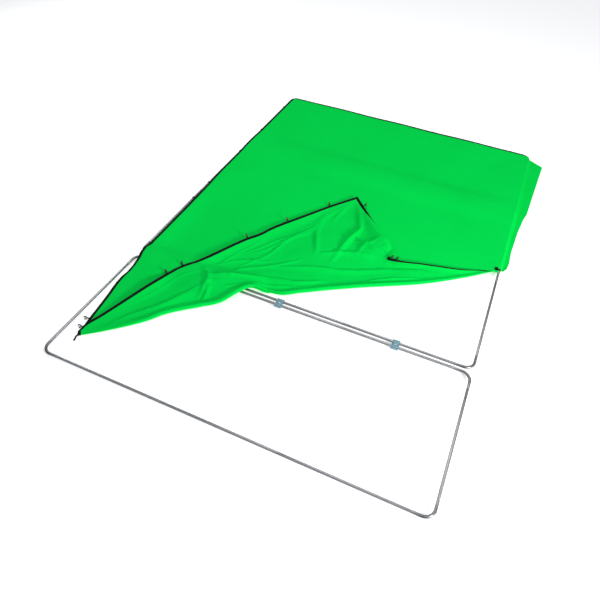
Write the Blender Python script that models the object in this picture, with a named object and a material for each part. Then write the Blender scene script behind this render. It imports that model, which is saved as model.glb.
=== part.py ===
"""Collapsible backdrop panel: three tube frames linked by clamps, with a clip-on fabric cover.

The frames lie flat with the fabric's face up.  -X is the top of the standing backdrop, +X its foot,
where the fabric trails past the frame, and the wings stand at -Y (left) and +Y (right).
The origin is at the centre of the object's box, on the floor.  Metres, +Z up.
"""
import math

import bmesh
import bpy
from mathutils import Matrix, Vector

# ---- driving dimensions -------------------------------------------------------------------
GAP = 0.0003                # clearance between pieces that touch

SECTION = 0.793             # exposed length of every straight tube section
ELBOW_LEG = 0.125           # corner point to the seam with the next section
BEND_RADIUS = 0.065
TUBE_RADIUS = 0.010
TUBE_BORE = 0.009
SPIGOT_RADIUS = 0.00865     # swaged male end, which plugs into the next bore
SPIGOT_BORE = 0.00765
SPIGOT_LENGTH = 0.056
SHOULDER = 0.003            # length of the taper from spigot to full diameter
STILE_SECTIONS = 3
TUBE_SIDES = 8
BEND_STEPS = 5

LINK = 0.040                # distance between the two tubes that a clamp holds
CLAMP_PLACES = (0.34, 1.22, 2.10)   # along the stiles, from the top rail
CLAMP_LENGTH = 0.054
CLAMP_RADIUS = 0.0145
CLAMP_BORE = 0.0107         # corner radius of the faceted bore, over 0.3 mm clear of the tube
CLAMP_WEB = 0.007           # half height of the web between the two tubes
CLAMP_WEB_LENGTH = 0.032
CLAMP_SLIT = 0.001          # half width of the slit that lets the jaws close
CLAMP_LIP = 0.007
CLAMP_LIP_HALF = 0.005
STUD_HOLE = 0.00345
CUTTER_REACH = 0.025        # how far the drill and the notches run past the web's middle
ARC_STEPS = 6

STUD_RADIUS = 0.003
STUD_ABOVE_WEB = 0.002
KNOB_COLLAR = 0.006
KNOB_RADIUS = 0.015
KNOB_VALLEY = 0.0126
KNOB_THICKNESS = 0.008
KNOB_CHAMFER = 0.0015
KNOB_LOBES = 6
HOLE_SIDES = 12

BUTTON_SIDES = 10
BUTTON_PLACE = 0.082        # from the corner point, on the elbow's socket leg
BUTTON_RADIUS = 0.0028
BUTTON_HOLE = 0.0033
BUTTON_PROUD = 0.003
BUTTON_FOOT = 0.0040
BUTTON_FOOT_TOP = 0.0050    # above the tube's axis
BUTTON_FOOT_THICK = 0.0012
BUTTON_TIP_ROUND = 0.001    # height of the tapered tip
BUTTON_TIP_SHARE = 0.6      # the tip's radius, as a share of the pin's
BUTTON_HOLE_LOW = 0.002     # above the tube's axis, so that only the upper walls are drilled
BUTTON_HOLE_HIGH = 0.020

FLAP = 0.146                # how far the fabric trails past the foot of the frame
COVER_THICK = 0.001
COVER_INSET = 0.0025        # from the tube to the hem beside it
COVER_BREAK = 0.025         # from a hinge tube's axis to the hem of its stretch of cover
LOOSE_LIFT = 0.0153         # height over the tubes' axes where the loose part crosses a link
CORNER_LIFT = 0.0245        # the same over the wing's top elbow, which swings up under it
PILE_HEIGHT = 0.065         # rise of the folded part over the flat cover
FOLD_INSET = 0.12           # from the top rail to where the fold begins
PAST_EDGE = 0.02            # from the folded corner's edge to where the single layer begins
PAST_CLAMP = 0.04           # the same, from the left link's axis
SETTLING_SHARE = 0.25       # share of the single layer over which it comes down to the rails

WIDTH = STILE_SECTIONS * SECTION + 2 * ELBOW_LEG
WING = SECTION + 2 * ELBOW_LEG
CENTRE = 2 * SECTION + 2 * ELBOW_LEG
DEPTH = 2 * WING + CENTRE + 2 * LINK
KNOB_TOP = -CLAMP_RADIUS - GAP
AXIS_Z = KNOB_THICKNESS - KNOB_TOP
LEFT_X = -(WIDTH + FLAP - TUBE_RADIUS) / 2
FRONT_Y = -DEPTH / 2
LEFT_HINGE_Y = FRONT_Y + WING
CENTRE_Y = LEFT_HINGE_Y + LINK
RIGHT_LINK_Y = CENTRE_Y + CENTRE
RIGHT_HINGE_Y = RIGHT_LINK_Y + LINK


def material(name, colour, roughness, metallic=0.0):
    """One Principled finish."""
    finish = bpy.data.materials.new(name)
    finish.use_nodes = True
    shader = finish.node_tree.nodes["Principled BSDF"]
    shader.inputs["Base Color"].default_value = (*colour, 1.0)
    shader.inputs["Roughness"].default_value = roughness
    shader.inputs["Metallic"].default_value = metallic
    return finish


def mesh_object(name, bm, finish, sharp_degrees=40):
    """Turn a bmesh into a named object with outward faces."""
    bmesh.ops.recalc_face_normals(bm, faces=bm.faces)
    mesh = bpy.data.meshes.new(name)
    bm.to_mesh(mesh)
    bm.free()
    mesh.shade_smooth()
    mesh.set_sharp_from_angle(angle=math.radians(sharp_degrees))
    mesh.materials.append(finish)
    return link_mesh(name, mesh)


def link_mesh(name, mesh):
    """Put an object that uses a mesh into the scene."""
    obj = bpy.data.objects.new(name, mesh)
    bpy.context.scene.collection.objects.link(obj)
    return obj


def pivot(name, location):
    """An empty on a joint's axis, which carries the pieces that turn about it."""
    empty = bpy.data.objects.new(name, None)
    empty.location = location
    bpy.context.scene.collection.objects.link(empty)
    return empty


def place(obj, location, turn_degrees=0.0, parent=None):
    """Place an object in the world, turned about Z, under an unturned parent."""
    offset = parent.location if parent else Vector((0, 0, 0))
    obj.location = Vector(location) - offset
    obj.rotation_euler = (0, 0, math.radians(turn_degrees))
    obj.parent = parent
    return obj


def cut(obj, cutter):
    """Subtract a hidden cutter from an object."""
    modifier = obj.modifiers.new("cut", "BOOLEAN")
    modifier.object = cutter
    modifier.operation = "DIFFERENCE"
    modifier.solver = "EXACT"


def as_cutter(obj):
    """Keep a cutter out of the model."""
    obj.hide_render = True
    obj.display_type = "WIRE"
    return obj


# ---- tubes --------------------------------------------------------------------------------
def tube_bmesh(stations):
    """A hollow tube in the XY plane: stations are (centre, tangent, outer radius, bore)."""
    bm = bmesh.new()
    outer = []
    inner = []
    for centre, tangent, radius, bore in stations:
        side = Vector((-tangent.y, tangent.x, 0))
        for rings, size in ((outer, radius), (inner, bore)):
            ring = []
            for k in range(TUBE_SIDES):
                angle = 2 * math.pi * k / TUBE_SIDES
                point = centre + size * (math.cos(angle) * side + math.sin(angle) * Vector((0, 0, 1)))
                ring.append(bm.verts.new(point))
            rings.append(ring)
    for rings in (outer, inner):
        for low, high in zip(rings, rings[1:]):
            for k in range(TUBE_SIDES):
                n = (k + 1) % TUBE_SIDES
                bm.faces.new((low[k], low[n], high[n], high[k]))
    for end in (0, -1):
        for k in range(TUBE_SIDES):
            n = (k + 1) % TUBE_SIDES
            bm.faces.new((outer[end][k], outer[end][n], inner[end][n], inner[end][k]))
    return bm


def section_mesh(finish):
    """A straight section along +X: its spigot reaches back past the seam at x = 0."""
    along = Vector((1, 0, 0))
    profile = ((-SPIGOT_LENGTH, SPIGOT_RADIUS, SPIGOT_BORE), (GAP, SPIGOT_RADIUS, SPIGOT_BORE),
               (GAP + SHOULDER, TUBE_RADIUS, TUBE_BORE), (SECTION, TUBE_RADIUS, TUBE_BORE))
    bm = tube_bmesh([(along * x, along, radius, bore) for x, radius, bore in profile])
    obj = mesh_object("section_pattern", bm, finish)
    mesh = obj.data
    bpy.data.objects.remove(obj)
    return mesh


def elbow_mesh(finish):
    """A corner at the origin: socket leg along +X, bend, then a leg along +Y with a spigot."""
    x_axis = Vector((1, 0, 0))
    y_axis = Vector((0, 1, 0))
    stations = [(x_axis * ELBOW_LEG, -x_axis, TUBE_RADIUS, TUBE_BORE)]
    middle = Vector((BEND_RADIUS, BEND_RADIUS, 0))
    for step in range(BEND_STEPS + 1):
        angle = math.radians(270 - 90 * step / BEND_STEPS)
        spoke = Vector((math.cos(angle), math.sin(angle), 0))
        tangent = Vector((spoke.y, -spoke.x, 0))
        stations.append((middle + BEND_RADIUS * spoke, tangent, TUBE_RADIUS, TUBE_BORE))
    seam = ELBOW_LEG - GAP
    for y, radius, bore in ((seam - SHOULDER, TUBE_RADIUS, TUBE_BORE), (seam, SPIGOT_RADIUS, SPIGOT_BORE),
                            (ELBOW_LEG + SPIGOT_LENGTH, SPIGOT_RADIUS, SPIGOT_BORE)):
        stations.append((y_axis * y, y_axis, radius, bore))
    obj = mesh_object("elbow_pattern", tube_bmesh(stations), finish)
    mesh = obj.data
    bpy.data.objects.remove(obj)
    return mesh


def build_panel(panel, low_y, rail_sections, stiles, meshes, parent):
    """A ring of elbows and sections whose spigots all point the same way round."""
    section, elbow = meshes
    depth = rail_sections * SECTION + 2 * ELBOW_LEG
    high_y = low_y + depth
    foot_x = LEFT_X + WIDTH
    pieces = {}

    def add(name, mesh, x, y, turn):
        pieces[name] = place(link_mesh(f"{panel}_{name}", mesh), (x, y, AXIS_Z), turn, parent)

    add(f"{stiles[0]}_top_elbow", elbow, LEFT_X, low_y, 0)
    add(f"{stiles[1]}_top_elbow", elbow, LEFT_X, high_y, -90)
    add(f"{stiles[1]}_bottom_elbow", elbow, foot_x, high_y, 180)
    add(f"{stiles[0]}_bottom_elbow", elbow, foot_x, low_y, 90)
    heights = ("top", "middle", "bottom")
    for k, height in enumerate(heights):
        start = LEFT_X + ELBOW_LEG + k * SECTION
        add(f"{stiles[0]}_stile_{height}", section, start, low_y, 0)
        add(f"{stiles[1]}_stile_{height}", section, start + SECTION, high_y, 180)
    sides = ("",) if rail_sections == 1 else ("_left", "_right")
    for k, side in enumerate(sides):
        start = low_y + ELBOW_LEG + k * SECTION
        add(f"top_rail{side}", section, LEFT_X, start + SECTION, -90)
        add(f"bottom_rail{side}", section, foot_x, start, 90)
    return pieces


# ---- snap buttons -------------------------------------------------------------------------
def turned_bmesh(profile, sides, lobe_valley=None):
    """A solid turned about Z from (height, radius, lobed) rings, with flat ends."""
    bm = bmesh.new()
    rings = []
    for height, radius, lobed in profile:
        ring = []
        for k in range(sides):
            angle = 2 * math.pi * k / sides
            size = radius * lobe_valley if lobed and k % 2 else radius
            ring.append(bm.verts.new((size * math.cos(angle), size * math.sin(angle), height)))
        rings.append(ring)
    for low, high in zip(rings, rings[1:]):
        for k in range(sides):
            n = (k + 1) % sides
            bm.faces.new((low[k], low[n], high[n], high[k]))
    bm.faces.new(rings[0])
    bm.faces.new(rings[-1])
    return bm


def build_button(name, x, y, receivers, finish, parent):
    """A spring button that stands up through an elbow's socket leg and the spigot inside it."""
    drill = ((BUTTON_HOLE_LOW, BUTTON_HOLE, False), (BUTTON_HOLE_HIGH, BUTTON_HOLE, False))
    cutter = mesh_object(f"{name}_hole", turned_bmesh(drill, HOLE_SIDES), finish)
    place(as_cutter(cutter), (x, y, AXIS_Z))
    for receiver in receivers:
        cut(receiver, cutter)
    foot = BUTTON_FOOT_TOP - BUTTON_FOOT_THICK
    tip = TUBE_RADIUS + BUTTON_PROUD
    profile = ((foot, BUTTON_FOOT, False), (BUTTON_FOOT_TOP, BUTTON_FOOT, False),
               (BUTTON_FOOT_TOP, BUTTON_RADIUS, False), (tip - BUTTON_TIP_ROUND, BUTTON_RADIUS, False),
               (tip, BUTTON_RADIUS * BUTTON_TIP_SHARE, False))
    obj = mesh_object(name, turned_bmesh(profile, BUTTON_SIDES), finish)
    return place(obj, (x, y, AXIS_Z), 0, parent)


# ---- link clamps --------------------------------------------------------------------------
def arc(centre_y, radius, start, end, steps):
    """Points on an arc in the YZ plane, angles in degrees from +Y towards +Z."""
    points = []
    for k in range(steps + 1):
        angle = math.radians(start + (end - start) * k / steps)
        points.append((centre_y + radius * math.cos(angle), radius * math.sin(angle)))
    return points


def clamp_outline():
    """One moulding round both tubes: open jaws at -Y, a closed eye at +Y and a slit between them."""
    half = LINK / 2
    outer_end = math.degrees(math.asin(CLAMP_LIP_HALF / CLAMP_RADIUS))
    web_end = math.degrees(math.asin(CLAMP_WEB / CLAMP_RADIUS))
    bore_end = math.degrees(math.asin(CLAMP_SLIT / CLAMP_BORE))
    lip_y = -half - CLAMP_RADIUS - CLAMP_LIP
    tab_y = half + CLAMP_RADIUS + CLAMP_LIP
    top = [(lip_y, CLAMP_SLIT), (lip_y, CLAMP_LIP_HALF)]
    top += arc(-half, CLAMP_RADIUS, 180 - outer_end, web_end, ARC_STEPS)
    top += arc(half, CLAMP_RADIUS, 180 - web_end, outer_end, ARC_STEPS)
    top += [(tab_y, CLAMP_LIP_HALF)]
    bottom = [(y, -z) for y, z in reversed(top)]
    inside = arc(-half, CLAMP_BORE, 180 - bore_end, bore_end, ARC_STEPS)
    inside += arc(half, CLAMP_BORE, 180 - bore_end, 0, ARC_STEPS)
    lower_inside = [(y, -z) for y, z in inside[:-1]]
    return top + bottom + lower_inside + list(reversed(inside))


def clamp_mesh(finish, cutters):
    """The clamp's moulding, with the web narrowed between the tubes and drilled for the stud."""
    bm = bmesh.new()
    outline = clamp_outline()
    half = CLAMP_LENGTH / 2
    ends = []
    for x in (-half, half):
        ends.append([bm.verts.new((x, y, z)) for y, z in outline])
    count = len(outline)
    for k in range(count):
        n = (k + 1) % count
        bm.faces.new((ends[0][k], ends[0][n], ends[1][n], ends[1][k]))
    for end in ends:
        bm.faces.new(end)
    obj = mesh_object("clamp_pattern", bm, finish, 35)
    for cutter in cutters:
        cut(obj, cutter)
    graph = bpy.context.evaluated_depsgraph_get()
    mesh = bpy.data.meshes.new_from_object(obj.evaluated_get(graph))
    bpy.data.objects.remove(obj)
    return mesh


def clamp_cutters(finish):
    """The stud hole and the two notches that narrow the web."""
    drill = ((-CUTTER_REACH, STUD_HOLE, False), (CUTTER_REACH, STUD_HOLE, False))
    hole = mesh_object("stud_hole", turned_bmesh(drill, HOLE_SIDES), finish)
    cutters = [as_cutter(hole)]
    notch = (CLAMP_LENGTH - CLAMP_WEB_LENGTH) / 2
    valley = LINK / 2 - CLAMP_RADIUS
    for side in (-1, 1):
        bm = bmesh.new()
        size = Matrix.Diagonal((2 * notch, 2 * valley, 2 * CUTTER_REACH, 1.0))
        bmesh.ops.create_cube(bm, size=1.0, matrix=size)
        obj = mesh_object(f"web_notch_{side}", bm, finish)
        cutters.append(place(as_cutter(obj), (side * CLAMP_LENGTH / 2, 0, 0)))
    return cutters


def knob_mesh(finish):
    """A lobed knob under the clamp, with its collar and the stud up through the web."""
    bottom = KNOB_TOP - KNOB_THICKNESS
    under_web = -CLAMP_WEB - GAP
    profile = ((bottom, KNOB_RADIUS - KNOB_CHAMFER, True), (bottom + KNOB_CHAMFER, KNOB_RADIUS, True),
               (KNOB_TOP - KNOB_CHAMFER, KNOB_RADIUS, True), (KNOB_TOP, KNOB_RADIUS - KNOB_CHAMFER, True),
               (KNOB_TOP, KNOB_COLLAR, False), (under_web, KNOB_COLLAR, False),
               (under_web, STUD_RADIUS, False), (CLAMP_WEB + STUD_ABOVE_WEB, STUD_RADIUS, False))
    bm = turned_bmesh(profile, 2 * KNOB_LOBES, KNOB_VALLEY / KNOB_RADIUS)
    obj = mesh_object("knob_pattern", bm, finish)
    mesh = obj.data
    bpy.data.objects.remove(obj)
    return mesh


# ---- fabric cover -------------------------------------------------------------------------
def along_line(points, x):
    """The y at x on an open line through points that run in rising x."""
    if x <= points[0][0]:
        return points[0][1]
    for (x0, y0), (x1, y1) in zip(points, points[1:]):
        if x <= x1:
            return y0 + (y1 - y0) * (x - x0) / (x1 - x0)
    return points[-1][1]


def slab(name, columns, finish):
    """A closed soft solid: each column is a list of (x, y, underside, top) from front to back."""
    bm = bmesh.new()
    layers = []
    for pick in (2, 3):
        layers.append([[bm.verts.new((row[0], row[1], row[pick])) for row in column] for column in columns])
    last_column = len(columns) - 1
    last_row = len(columns[0]) - 1
    for layer in layers:
        for a, b in zip(layer, layer[1:]):
            for k in range(last_row):
                bm.faces.new((a[k], b[k], b[k + 1], a[k + 1]))
    rim = [(c, 0) for c in range(last_column)] + [(last_column, r) for r in range(last_row)]
    rim += [(c, last_row) for c in range(last_column, 0, -1)] + [(0, r) for r in range(last_row, 0, -1)]
    low, high = layers
    for (c0, r0), (c1, r1) in zip(rim, rim[1:] + rim[:1]):
        bm.faces.new((low[c0][r0], low[c1][r1], high[c1][r1], high[c0][r0]))
    return mesh_object(name, bm, finish, 60)


def build_centre_cover(finish):
    """The cover over the centre frame, with its loose corner folded back in a pile on top of it."""
    back = CENTRE + WING + LINK - COVER_BREAK
    inset = TUBE_RADIUS + COVER_INSET
    # The fold's front and the folded corner's edges, from the top rail and the left wing's outer stile.
    fold = ((inset, 1.16), (0.04, 1.0), (0.08, 0.43), (0.12, 0.21), (0.25, 0.316), (0.45, 0.505),
            (0.73, 0.805), (0.95, 1.10), (1.19, 1.15), (1.5, 1.356), (2.1, 1.72), (2.56, 2.07),
            (2.64, 2.19), (2.68, 2.50), (2.705, 2.85))
    corner = ((inset, 1.20), (0.04, 1.10), (0.08, 0.60), (0.12, 0.42), (0.33, 0.965), (0.67, 1.60),
              (1.13, 2.33), (1.29, 2.54), (1.50, 2.30), (1.79, 1.95), (2.36, 2.08), (2.61, 2.22),
              (2.68, 2.60), (2.705, 2.87))
    flat_low = AXIS_Z + TUBE_RADIUS + GAP
    rows = ((0.0, 0.3), (0.3, 0.8), (0.65, 1.0), (1.0, 0.5))    # share of the way back, of the pile's height
    columns = []
    for x, front in fold:
        edge = along_line(corner, x)
        low = AXIS_Z + (CORNER_LIFT if x < FOLD_INSET else LOOSE_LIFT)
        pile_height = PILE_HEIGHT if FOLD_INSET <= x <= WIDTH else 0.0
        column = []
        for share, fullness in rows:
            under = low + fullness * pile_height
            column.append((x, front + share * (edge - front), under, under + COVER_THICK))
        past_link = max(edge + PAST_EDGE, WING + LINK + PAST_CLAMP)
        rail_start = past_link + SETTLING_SHARE * (back - past_link)
        column.append((x, past_link, low, low + COVER_THICK))
        column.append((x, rail_start, flat_low, flat_low + COVER_THICK))
        column.append((x, back, flat_low, flat_low + COVER_THICK))
        columns.append([(LEFT_X + row[0], FRONT_Y + row[1], row[2], row[3]) for row in column])
    return slab("cover_centre", columns, finish)


def build_wing_cover(finish, parent):
    """The cover over the right wing, with the flap that trails past the frame's foot."""
    inset = TUBE_RADIUS + COVER_INSET
    front = RIGHT_HINGE_Y + COVER_BREAK
    back = RIGHT_HINGE_Y + WING - inset
    over_tube = AXIS_Z + TUBE_RADIUS + GAP
    over_button = over_tube + BUTTON_PROUD
    columns = []
    # Place across, how far the front and the back are cut away, and the underside's height.
    outline = ((inset, 0, 0, over_tube), (WIDTH / 2, 0, 0, over_tube), (WIDTH, 0, 0, over_button),
               (WIDTH + 0.5 * FLAP, 0, 0.04, over_button), (WIDTH + FLAP, 0.30, 0.08, over_button))
    for x, first, last, low in outline:
        y0 = front + first
        y1 = back - last
        columns.append([(LEFT_X + x, y0 + share * (y1 - y0), low, low + COVER_THICK)
                        for share in (0, 0.5, 1)])
    obj = slab("cover_right_wing", columns, finish)
    for vertex in obj.data.vertices:
        vertex.co -= parent.location
    obj.parent = parent
    return obj


# ---- assembly -----------------------------------------------------------------------------
for old in list(bpy.data.objects):
    bpy.data.objects.remove(old)

aluminium = material("satin_aluminium", (0.62, 0.63, 0.65), 0.32, 1.0)
nylon = material("moulded_nylon", (0.16, 0.27, 0.30), 0.45)
knob_plastic = material("knob_plastic", (0.05, 0.06, 0.07), 0.5)
button_steel = material("button_steel", (0.10, 0.10, 0.11), 0.35, 1.0)
fabric = material("chroma_green_fabric", (0.0, 0.60, 0.08), 0.85)

left_pivot = pivot("left_wing_pivot", (0, LEFT_HINGE_Y, AXIS_Z))
right_pivot = pivot("right_wing_pivot", (0, RIGHT_HINGE_Y, AXIS_Z))
tube_meshes = (section_mesh(aluminium), elbow_mesh(aluminium))
wings = {
    "left_wing": build_panel("left_wing", FRONT_Y, 1, ("outer", "inner"), tube_meshes, left_pivot),
    "right_wing": build_panel("right_wing", RIGHT_HINGE_Y, 1, ("inner", "outer"), tube_meshes, right_pivot),
}
build_panel("centre", CENTRE_Y, 2, ("left", "right"), tube_meshes, None)

# The socket leg of each wing elbow and the section that plugs into it.
for wing, low_y, stiles, parent in (("left_wing", FRONT_Y, ("outer", "inner"), left_pivot),
                                    ("right_wing", RIGHT_HINGE_Y, ("inner", "outer"), right_pivot)):
    high_y = low_y + WING
    foot_x = LEFT_X + WIDTH
    corners = ((f"{stiles[0]}_top", LEFT_X + BUTTON_PLACE, low_y, f"{stiles[0]}_stile_top"),
               (f"{stiles[1]}_top", LEFT_X, high_y - BUTTON_PLACE, "top_rail"),
               (f"{stiles[1]}_bottom", foot_x - BUTTON_PLACE, high_y, f"{stiles[1]}_stile_bottom"),
               (f"{stiles[0]}_bottom", foot_x, low_y + BUTTON_PLACE, "bottom_rail"))
    for corner_name, x, y, section_name in corners:
        receivers = (wings[wing][f"{corner_name}_elbow"], wings[wing][section_name])
        build_button(f"{wing}_{corner_name}_button", x, y, receivers, button_steel, parent)

pattern_cutters = clamp_cutters(nylon)
bpy.context.view_layer.update()
clamp = clamp_mesh(nylon, pattern_cutters)
for cutter in pattern_cutters:
    bpy.data.objects.remove(cutter)
knob = knob_mesh(knob_plastic)
for side, y, turn in (("left", LEFT_HINGE_Y + LINK / 2, 0), ("right", RIGHT_LINK_Y + LINK / 2, 180)):
    for height, along in zip(("top", "middle", "bottom"), CLAMP_PLACES):
        spot = (LEFT_X + along, y, AXIS_Z)
        place(link_mesh(f"{side}_{height}_clamp", clamp), spot, turn)
        place(link_mesh(f"{side}_{height}_knob", knob), spot, turn)

build_centre_cover(fabric)
build_wing_cover(fabric, right_pivot)
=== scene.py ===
"""Looks of a collapsible backdrop panel: drawn aluminium tubes, link clamps and a clip-on green cover.

The frame lies flat with the cover's face up.  Its left half is unclipped, and the loose corner has been
folded back over the rest.  Metres, +Z up, -X the top of the standing backdrop and +X its foot.
"""
import math

import bmesh
import bpy
import numpy as np
from mathutils import Matrix, Quaternion, Vector


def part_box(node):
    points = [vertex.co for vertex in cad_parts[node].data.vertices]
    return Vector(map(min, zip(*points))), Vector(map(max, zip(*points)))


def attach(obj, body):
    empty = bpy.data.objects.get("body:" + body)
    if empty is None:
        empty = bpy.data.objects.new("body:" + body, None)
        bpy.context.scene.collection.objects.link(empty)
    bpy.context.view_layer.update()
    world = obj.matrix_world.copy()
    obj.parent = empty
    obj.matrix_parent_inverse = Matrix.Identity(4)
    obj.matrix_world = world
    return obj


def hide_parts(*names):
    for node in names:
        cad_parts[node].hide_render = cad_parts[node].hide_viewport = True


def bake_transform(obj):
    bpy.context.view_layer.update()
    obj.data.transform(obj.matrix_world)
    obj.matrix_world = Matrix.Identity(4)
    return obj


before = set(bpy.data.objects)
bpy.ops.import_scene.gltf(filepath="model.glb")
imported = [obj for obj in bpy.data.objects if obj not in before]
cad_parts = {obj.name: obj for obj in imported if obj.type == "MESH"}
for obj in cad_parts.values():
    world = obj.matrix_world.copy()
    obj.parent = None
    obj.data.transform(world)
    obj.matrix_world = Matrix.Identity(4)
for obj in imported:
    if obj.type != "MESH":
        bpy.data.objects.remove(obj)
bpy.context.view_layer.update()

# ---- camera ---------------------------------------------------------------------------------
# A standing person's view down onto the panel from beyond its left wing, held a little off level.
view_azimuth = math.radians(21.36)
view_elevation = math.radians(46.88)
view_roll = math.radians(3.49)
backward = Vector((math.sin(view_azimuth) * math.cos(view_elevation),
                   -math.cos(view_azimuth) * math.cos(view_elevation), math.sin(view_elevation)))
camera_data = bpy.data.cameras.new("camera")
camera_data.lens = 31.62
camera_data.sensor_width = 36.0
camera_data.clip_end = 60.0
camera = bpy.data.objects.new("camera", camera_data)
bpy.context.scene.collection.objects.link(camera)
camera.location = (0.921, -3.300, 2.841)
camera.rotation_mode = "QUATERNION"
camera.rotation_quaternion = (-backward).to_track_quat("-Z", "Y") @ Quaternion((0, 0, 1), view_roll)
bpy.context.scene.camera = camera

# ---- floor and light ------------------------------------------------------------------------
# A white studio floor and sweep under a broad overhead softbox, with a raking one at the foot.  What the
# tubes reflect past the floor is dim, so that they get a dark edge on each side of their highlight.
def new_material(name, colour, roughness, metallic=0.0):
    """A material with its Principled shader, whose colour inputs may be linked afterwards."""
    material = bpy.data.materials.new(name)
    material.use_nodes = True
    shader = material.node_tree.nodes["Principled BSDF"]
    shader.inputs["Base Color"].default_value = (*colour, 1.0)
    shader.inputs["Roughness"].default_value = roughness
    shader.inputs["Metallic"].default_value = metallic
    return material, shader


def area_light(name, location, target, size, power, colour=(1.0, 1.0, 1.0)):
    """A square softbox that faces its target."""
    data = bpy.data.lights.new(name, "AREA")
    data.size = size
    data.energy = power
    data.color = colour
    light = bpy.data.objects.new(name, data)
    bpy.context.scene.collection.objects.link(light)
    light.location = location
    light.rotation_mode = "QUATERNION"
    light.rotation_quaternion = (Vector(target) - Vector(location)).to_track_quat("-Z", "Y")


floor_material, floor_shader = new_material("studio_floor", (0.93, 0.93, 0.93), 0.9)
floor_shader.inputs["Emission Color"].default_value = (1.0, 1.0, 1.0, 1.0)
floor_shader.inputs["Emission Strength"].default_value = 0.45
floor_bmesh = bmesh.new()
bmesh.ops.create_circle(floor_bmesh, cap_ends=True, segments=96, radius=24.0)
floor_mesh = bpy.data.meshes.new("studio_floor")
floor_bmesh.to_mesh(floor_mesh)
floor_bmesh.free()
floor_mesh.materials.append(floor_material)
floor = bpy.data.objects.new("studio_floor", floor_mesh)
bpy.context.scene.collection.objects.link(floor)

area_light("overhead_softbox", (0.4, 0.9, 5.2), (0.3, 0.3, 0.0), 3.4, 86)
area_light("raking_softbox", (4.9, -3.0, 2.3), (0.5, 0.4, 0.0), 1.2, 300)
area_light("far_softbox", (-5.2, 2.2, 2.6), (-0.6, 0.6, 0.0), 2.0, 45)

world = bpy.data.worlds.new("studio")
bpy.context.scene.world = world
world.use_nodes = True
world_nodes, world_links = world.node_tree.nodes, world.node_tree.links
sky_direction = world_nodes.new("ShaderNodeTexCoord")
sky_height = world_nodes.new("ShaderNodeSeparateXYZ")
sky_ramp = world_nodes.new("ShaderNodeValToRGB")
sky_ramp.color_ramp.elements[0].position = 0.02
sky_ramp.color_ramp.elements[0].color = (0.02, 0.02, 0.022, 1.0)
sky_ramp.color_ramp.elements[1].position = 0.75
sky_ramp.color_ramp.elements[1].color = (0.95, 0.97, 1.0, 1.0)
middle_sky = sky_ramp.color_ramp.elements.new(0.42)
middle_sky.color = (0.30, 0.31, 0.33, 1.0)
world_links.new(sky_direction.outputs["Generated"], sky_height.inputs[0])
world_links.new(sky_height.outputs["Z"], sky_ramp.inputs["Fac"])
world_links.new(sky_ramp.outputs["Color"], world_nodes["Background"].inputs["Color"])
world_nodes["Background"].inputs["Strength"].default_value = 0.55
white_sweep = world_nodes.new("ShaderNodeBackground")
white_sweep.inputs["Color"].default_value = (1.0, 1.0, 1.0, 1.0)
seen_directly = world_nodes.new("ShaderNodeLightPath")
sky_mix = world_nodes.new("ShaderNodeMixShader")
world_links.new(seen_directly.outputs["Is Camera Ray"], sky_mix.inputs[0])
world_links.new(world_nodes["Background"].outputs[0], sky_mix.inputs[1])
world_links.new(white_sweep.outputs[0], sky_mix.inputs[2])
world_links.new(sky_mix.outputs[0], world_nodes["World Output"].inputs["Surface"])
bpy.context.scene.view_settings.view_transform = "Standard"

# ---- tubes ----------------------------------------------------------------------------------
# The frame is 20 mm drawn aluminium tube with a satin finish, in straight sections and bent elbows.
# One end of each piece is swaged down to a spigot, which plugs into the socket end of the next.
tube_radius = 0.010
tube_bore = 0.009
spigot_radius = 0.00865
spigot_bore = 0.00765
spigot_length = 0.056
shoulder_length = 0.003
seam_gap = 0.0003
rim_round = 0.0005
tube_sides = 32
elbow_leg = 0.125
bend_radius = 0.065
bend_steps = 18


def link_piece(name, mesh, material):
    """Put a mesh into the scene as one smooth-shaded piece."""
    mesh.materials.clear()
    mesh.materials.append(material)
    mesh.shade_smooth()
    mesh.set_sharp_from_angle(angle=math.radians(38))
    piece = bpy.data.objects.new(name, mesh)
    bpy.context.scene.collection.objects.link(piece)
    return piece


def lofted_mesh(name, rings, stations, ring_loops=False, caps=False):
    """A surface through rings of equal point count, with a UV map in metres: along the stations, and round."""
    rings = np.asarray(rings, float)
    count, sides = rings.shape[:2]
    mesh = bpy.data.meshes.new(name)
    spans = [(i, (i + 1) % count) for i in range(count if ring_loops else count - 1)]
    faces = [(i * sides + k, i * sides + (k + 1) % sides, n * sides + (k + 1) % sides, n * sides + k)
             for i, n in spans for k in range(sides)]
    if caps:
        faces.append(tuple(range(sides)))
        faces.append(tuple((count - 1) * sides + k for k in range(sides)))
    mesh.from_pydata(rings.reshape(-1, 3).tolist(), [], faces)
    chart = mesh.uv_layers.new(name="metres")
    perimeter = float(np.linalg.norm(np.diff(rings[count // 2], axis=0), axis=1).sum()) * sides / (sides - 1)
    turned = np.zeros((len(mesh.loops), 2))
    loop = 0
    for i, n in spans:
        for k in range(sides):
            for ring, step in ((i, k), (i, k + 1), (n, k + 1), (n, k)):
                turned[loop] = (stations[ring], perimeter * step / sides)
                loop += 1
    chart.data.foreach_set("uv", turned.ravel())
    cleaned = bmesh.new()
    cleaned.from_mesh(mesh)
    bmesh.ops.recalc_face_normals(cleaned, faces=cleaned.faces)
    cleaned.to_mesh(mesh)
    cleaned.free()
    return mesh


def set_rub(mesh, values):
    """Store how much each point is rubbed bright by its neighbours, from 0 to 1."""
    attribute = mesh.attributes.new("rub", "FLOAT", "POINT")
    attribute.data.foreach_set("value", np.asarray(values, np.float32))


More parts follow.
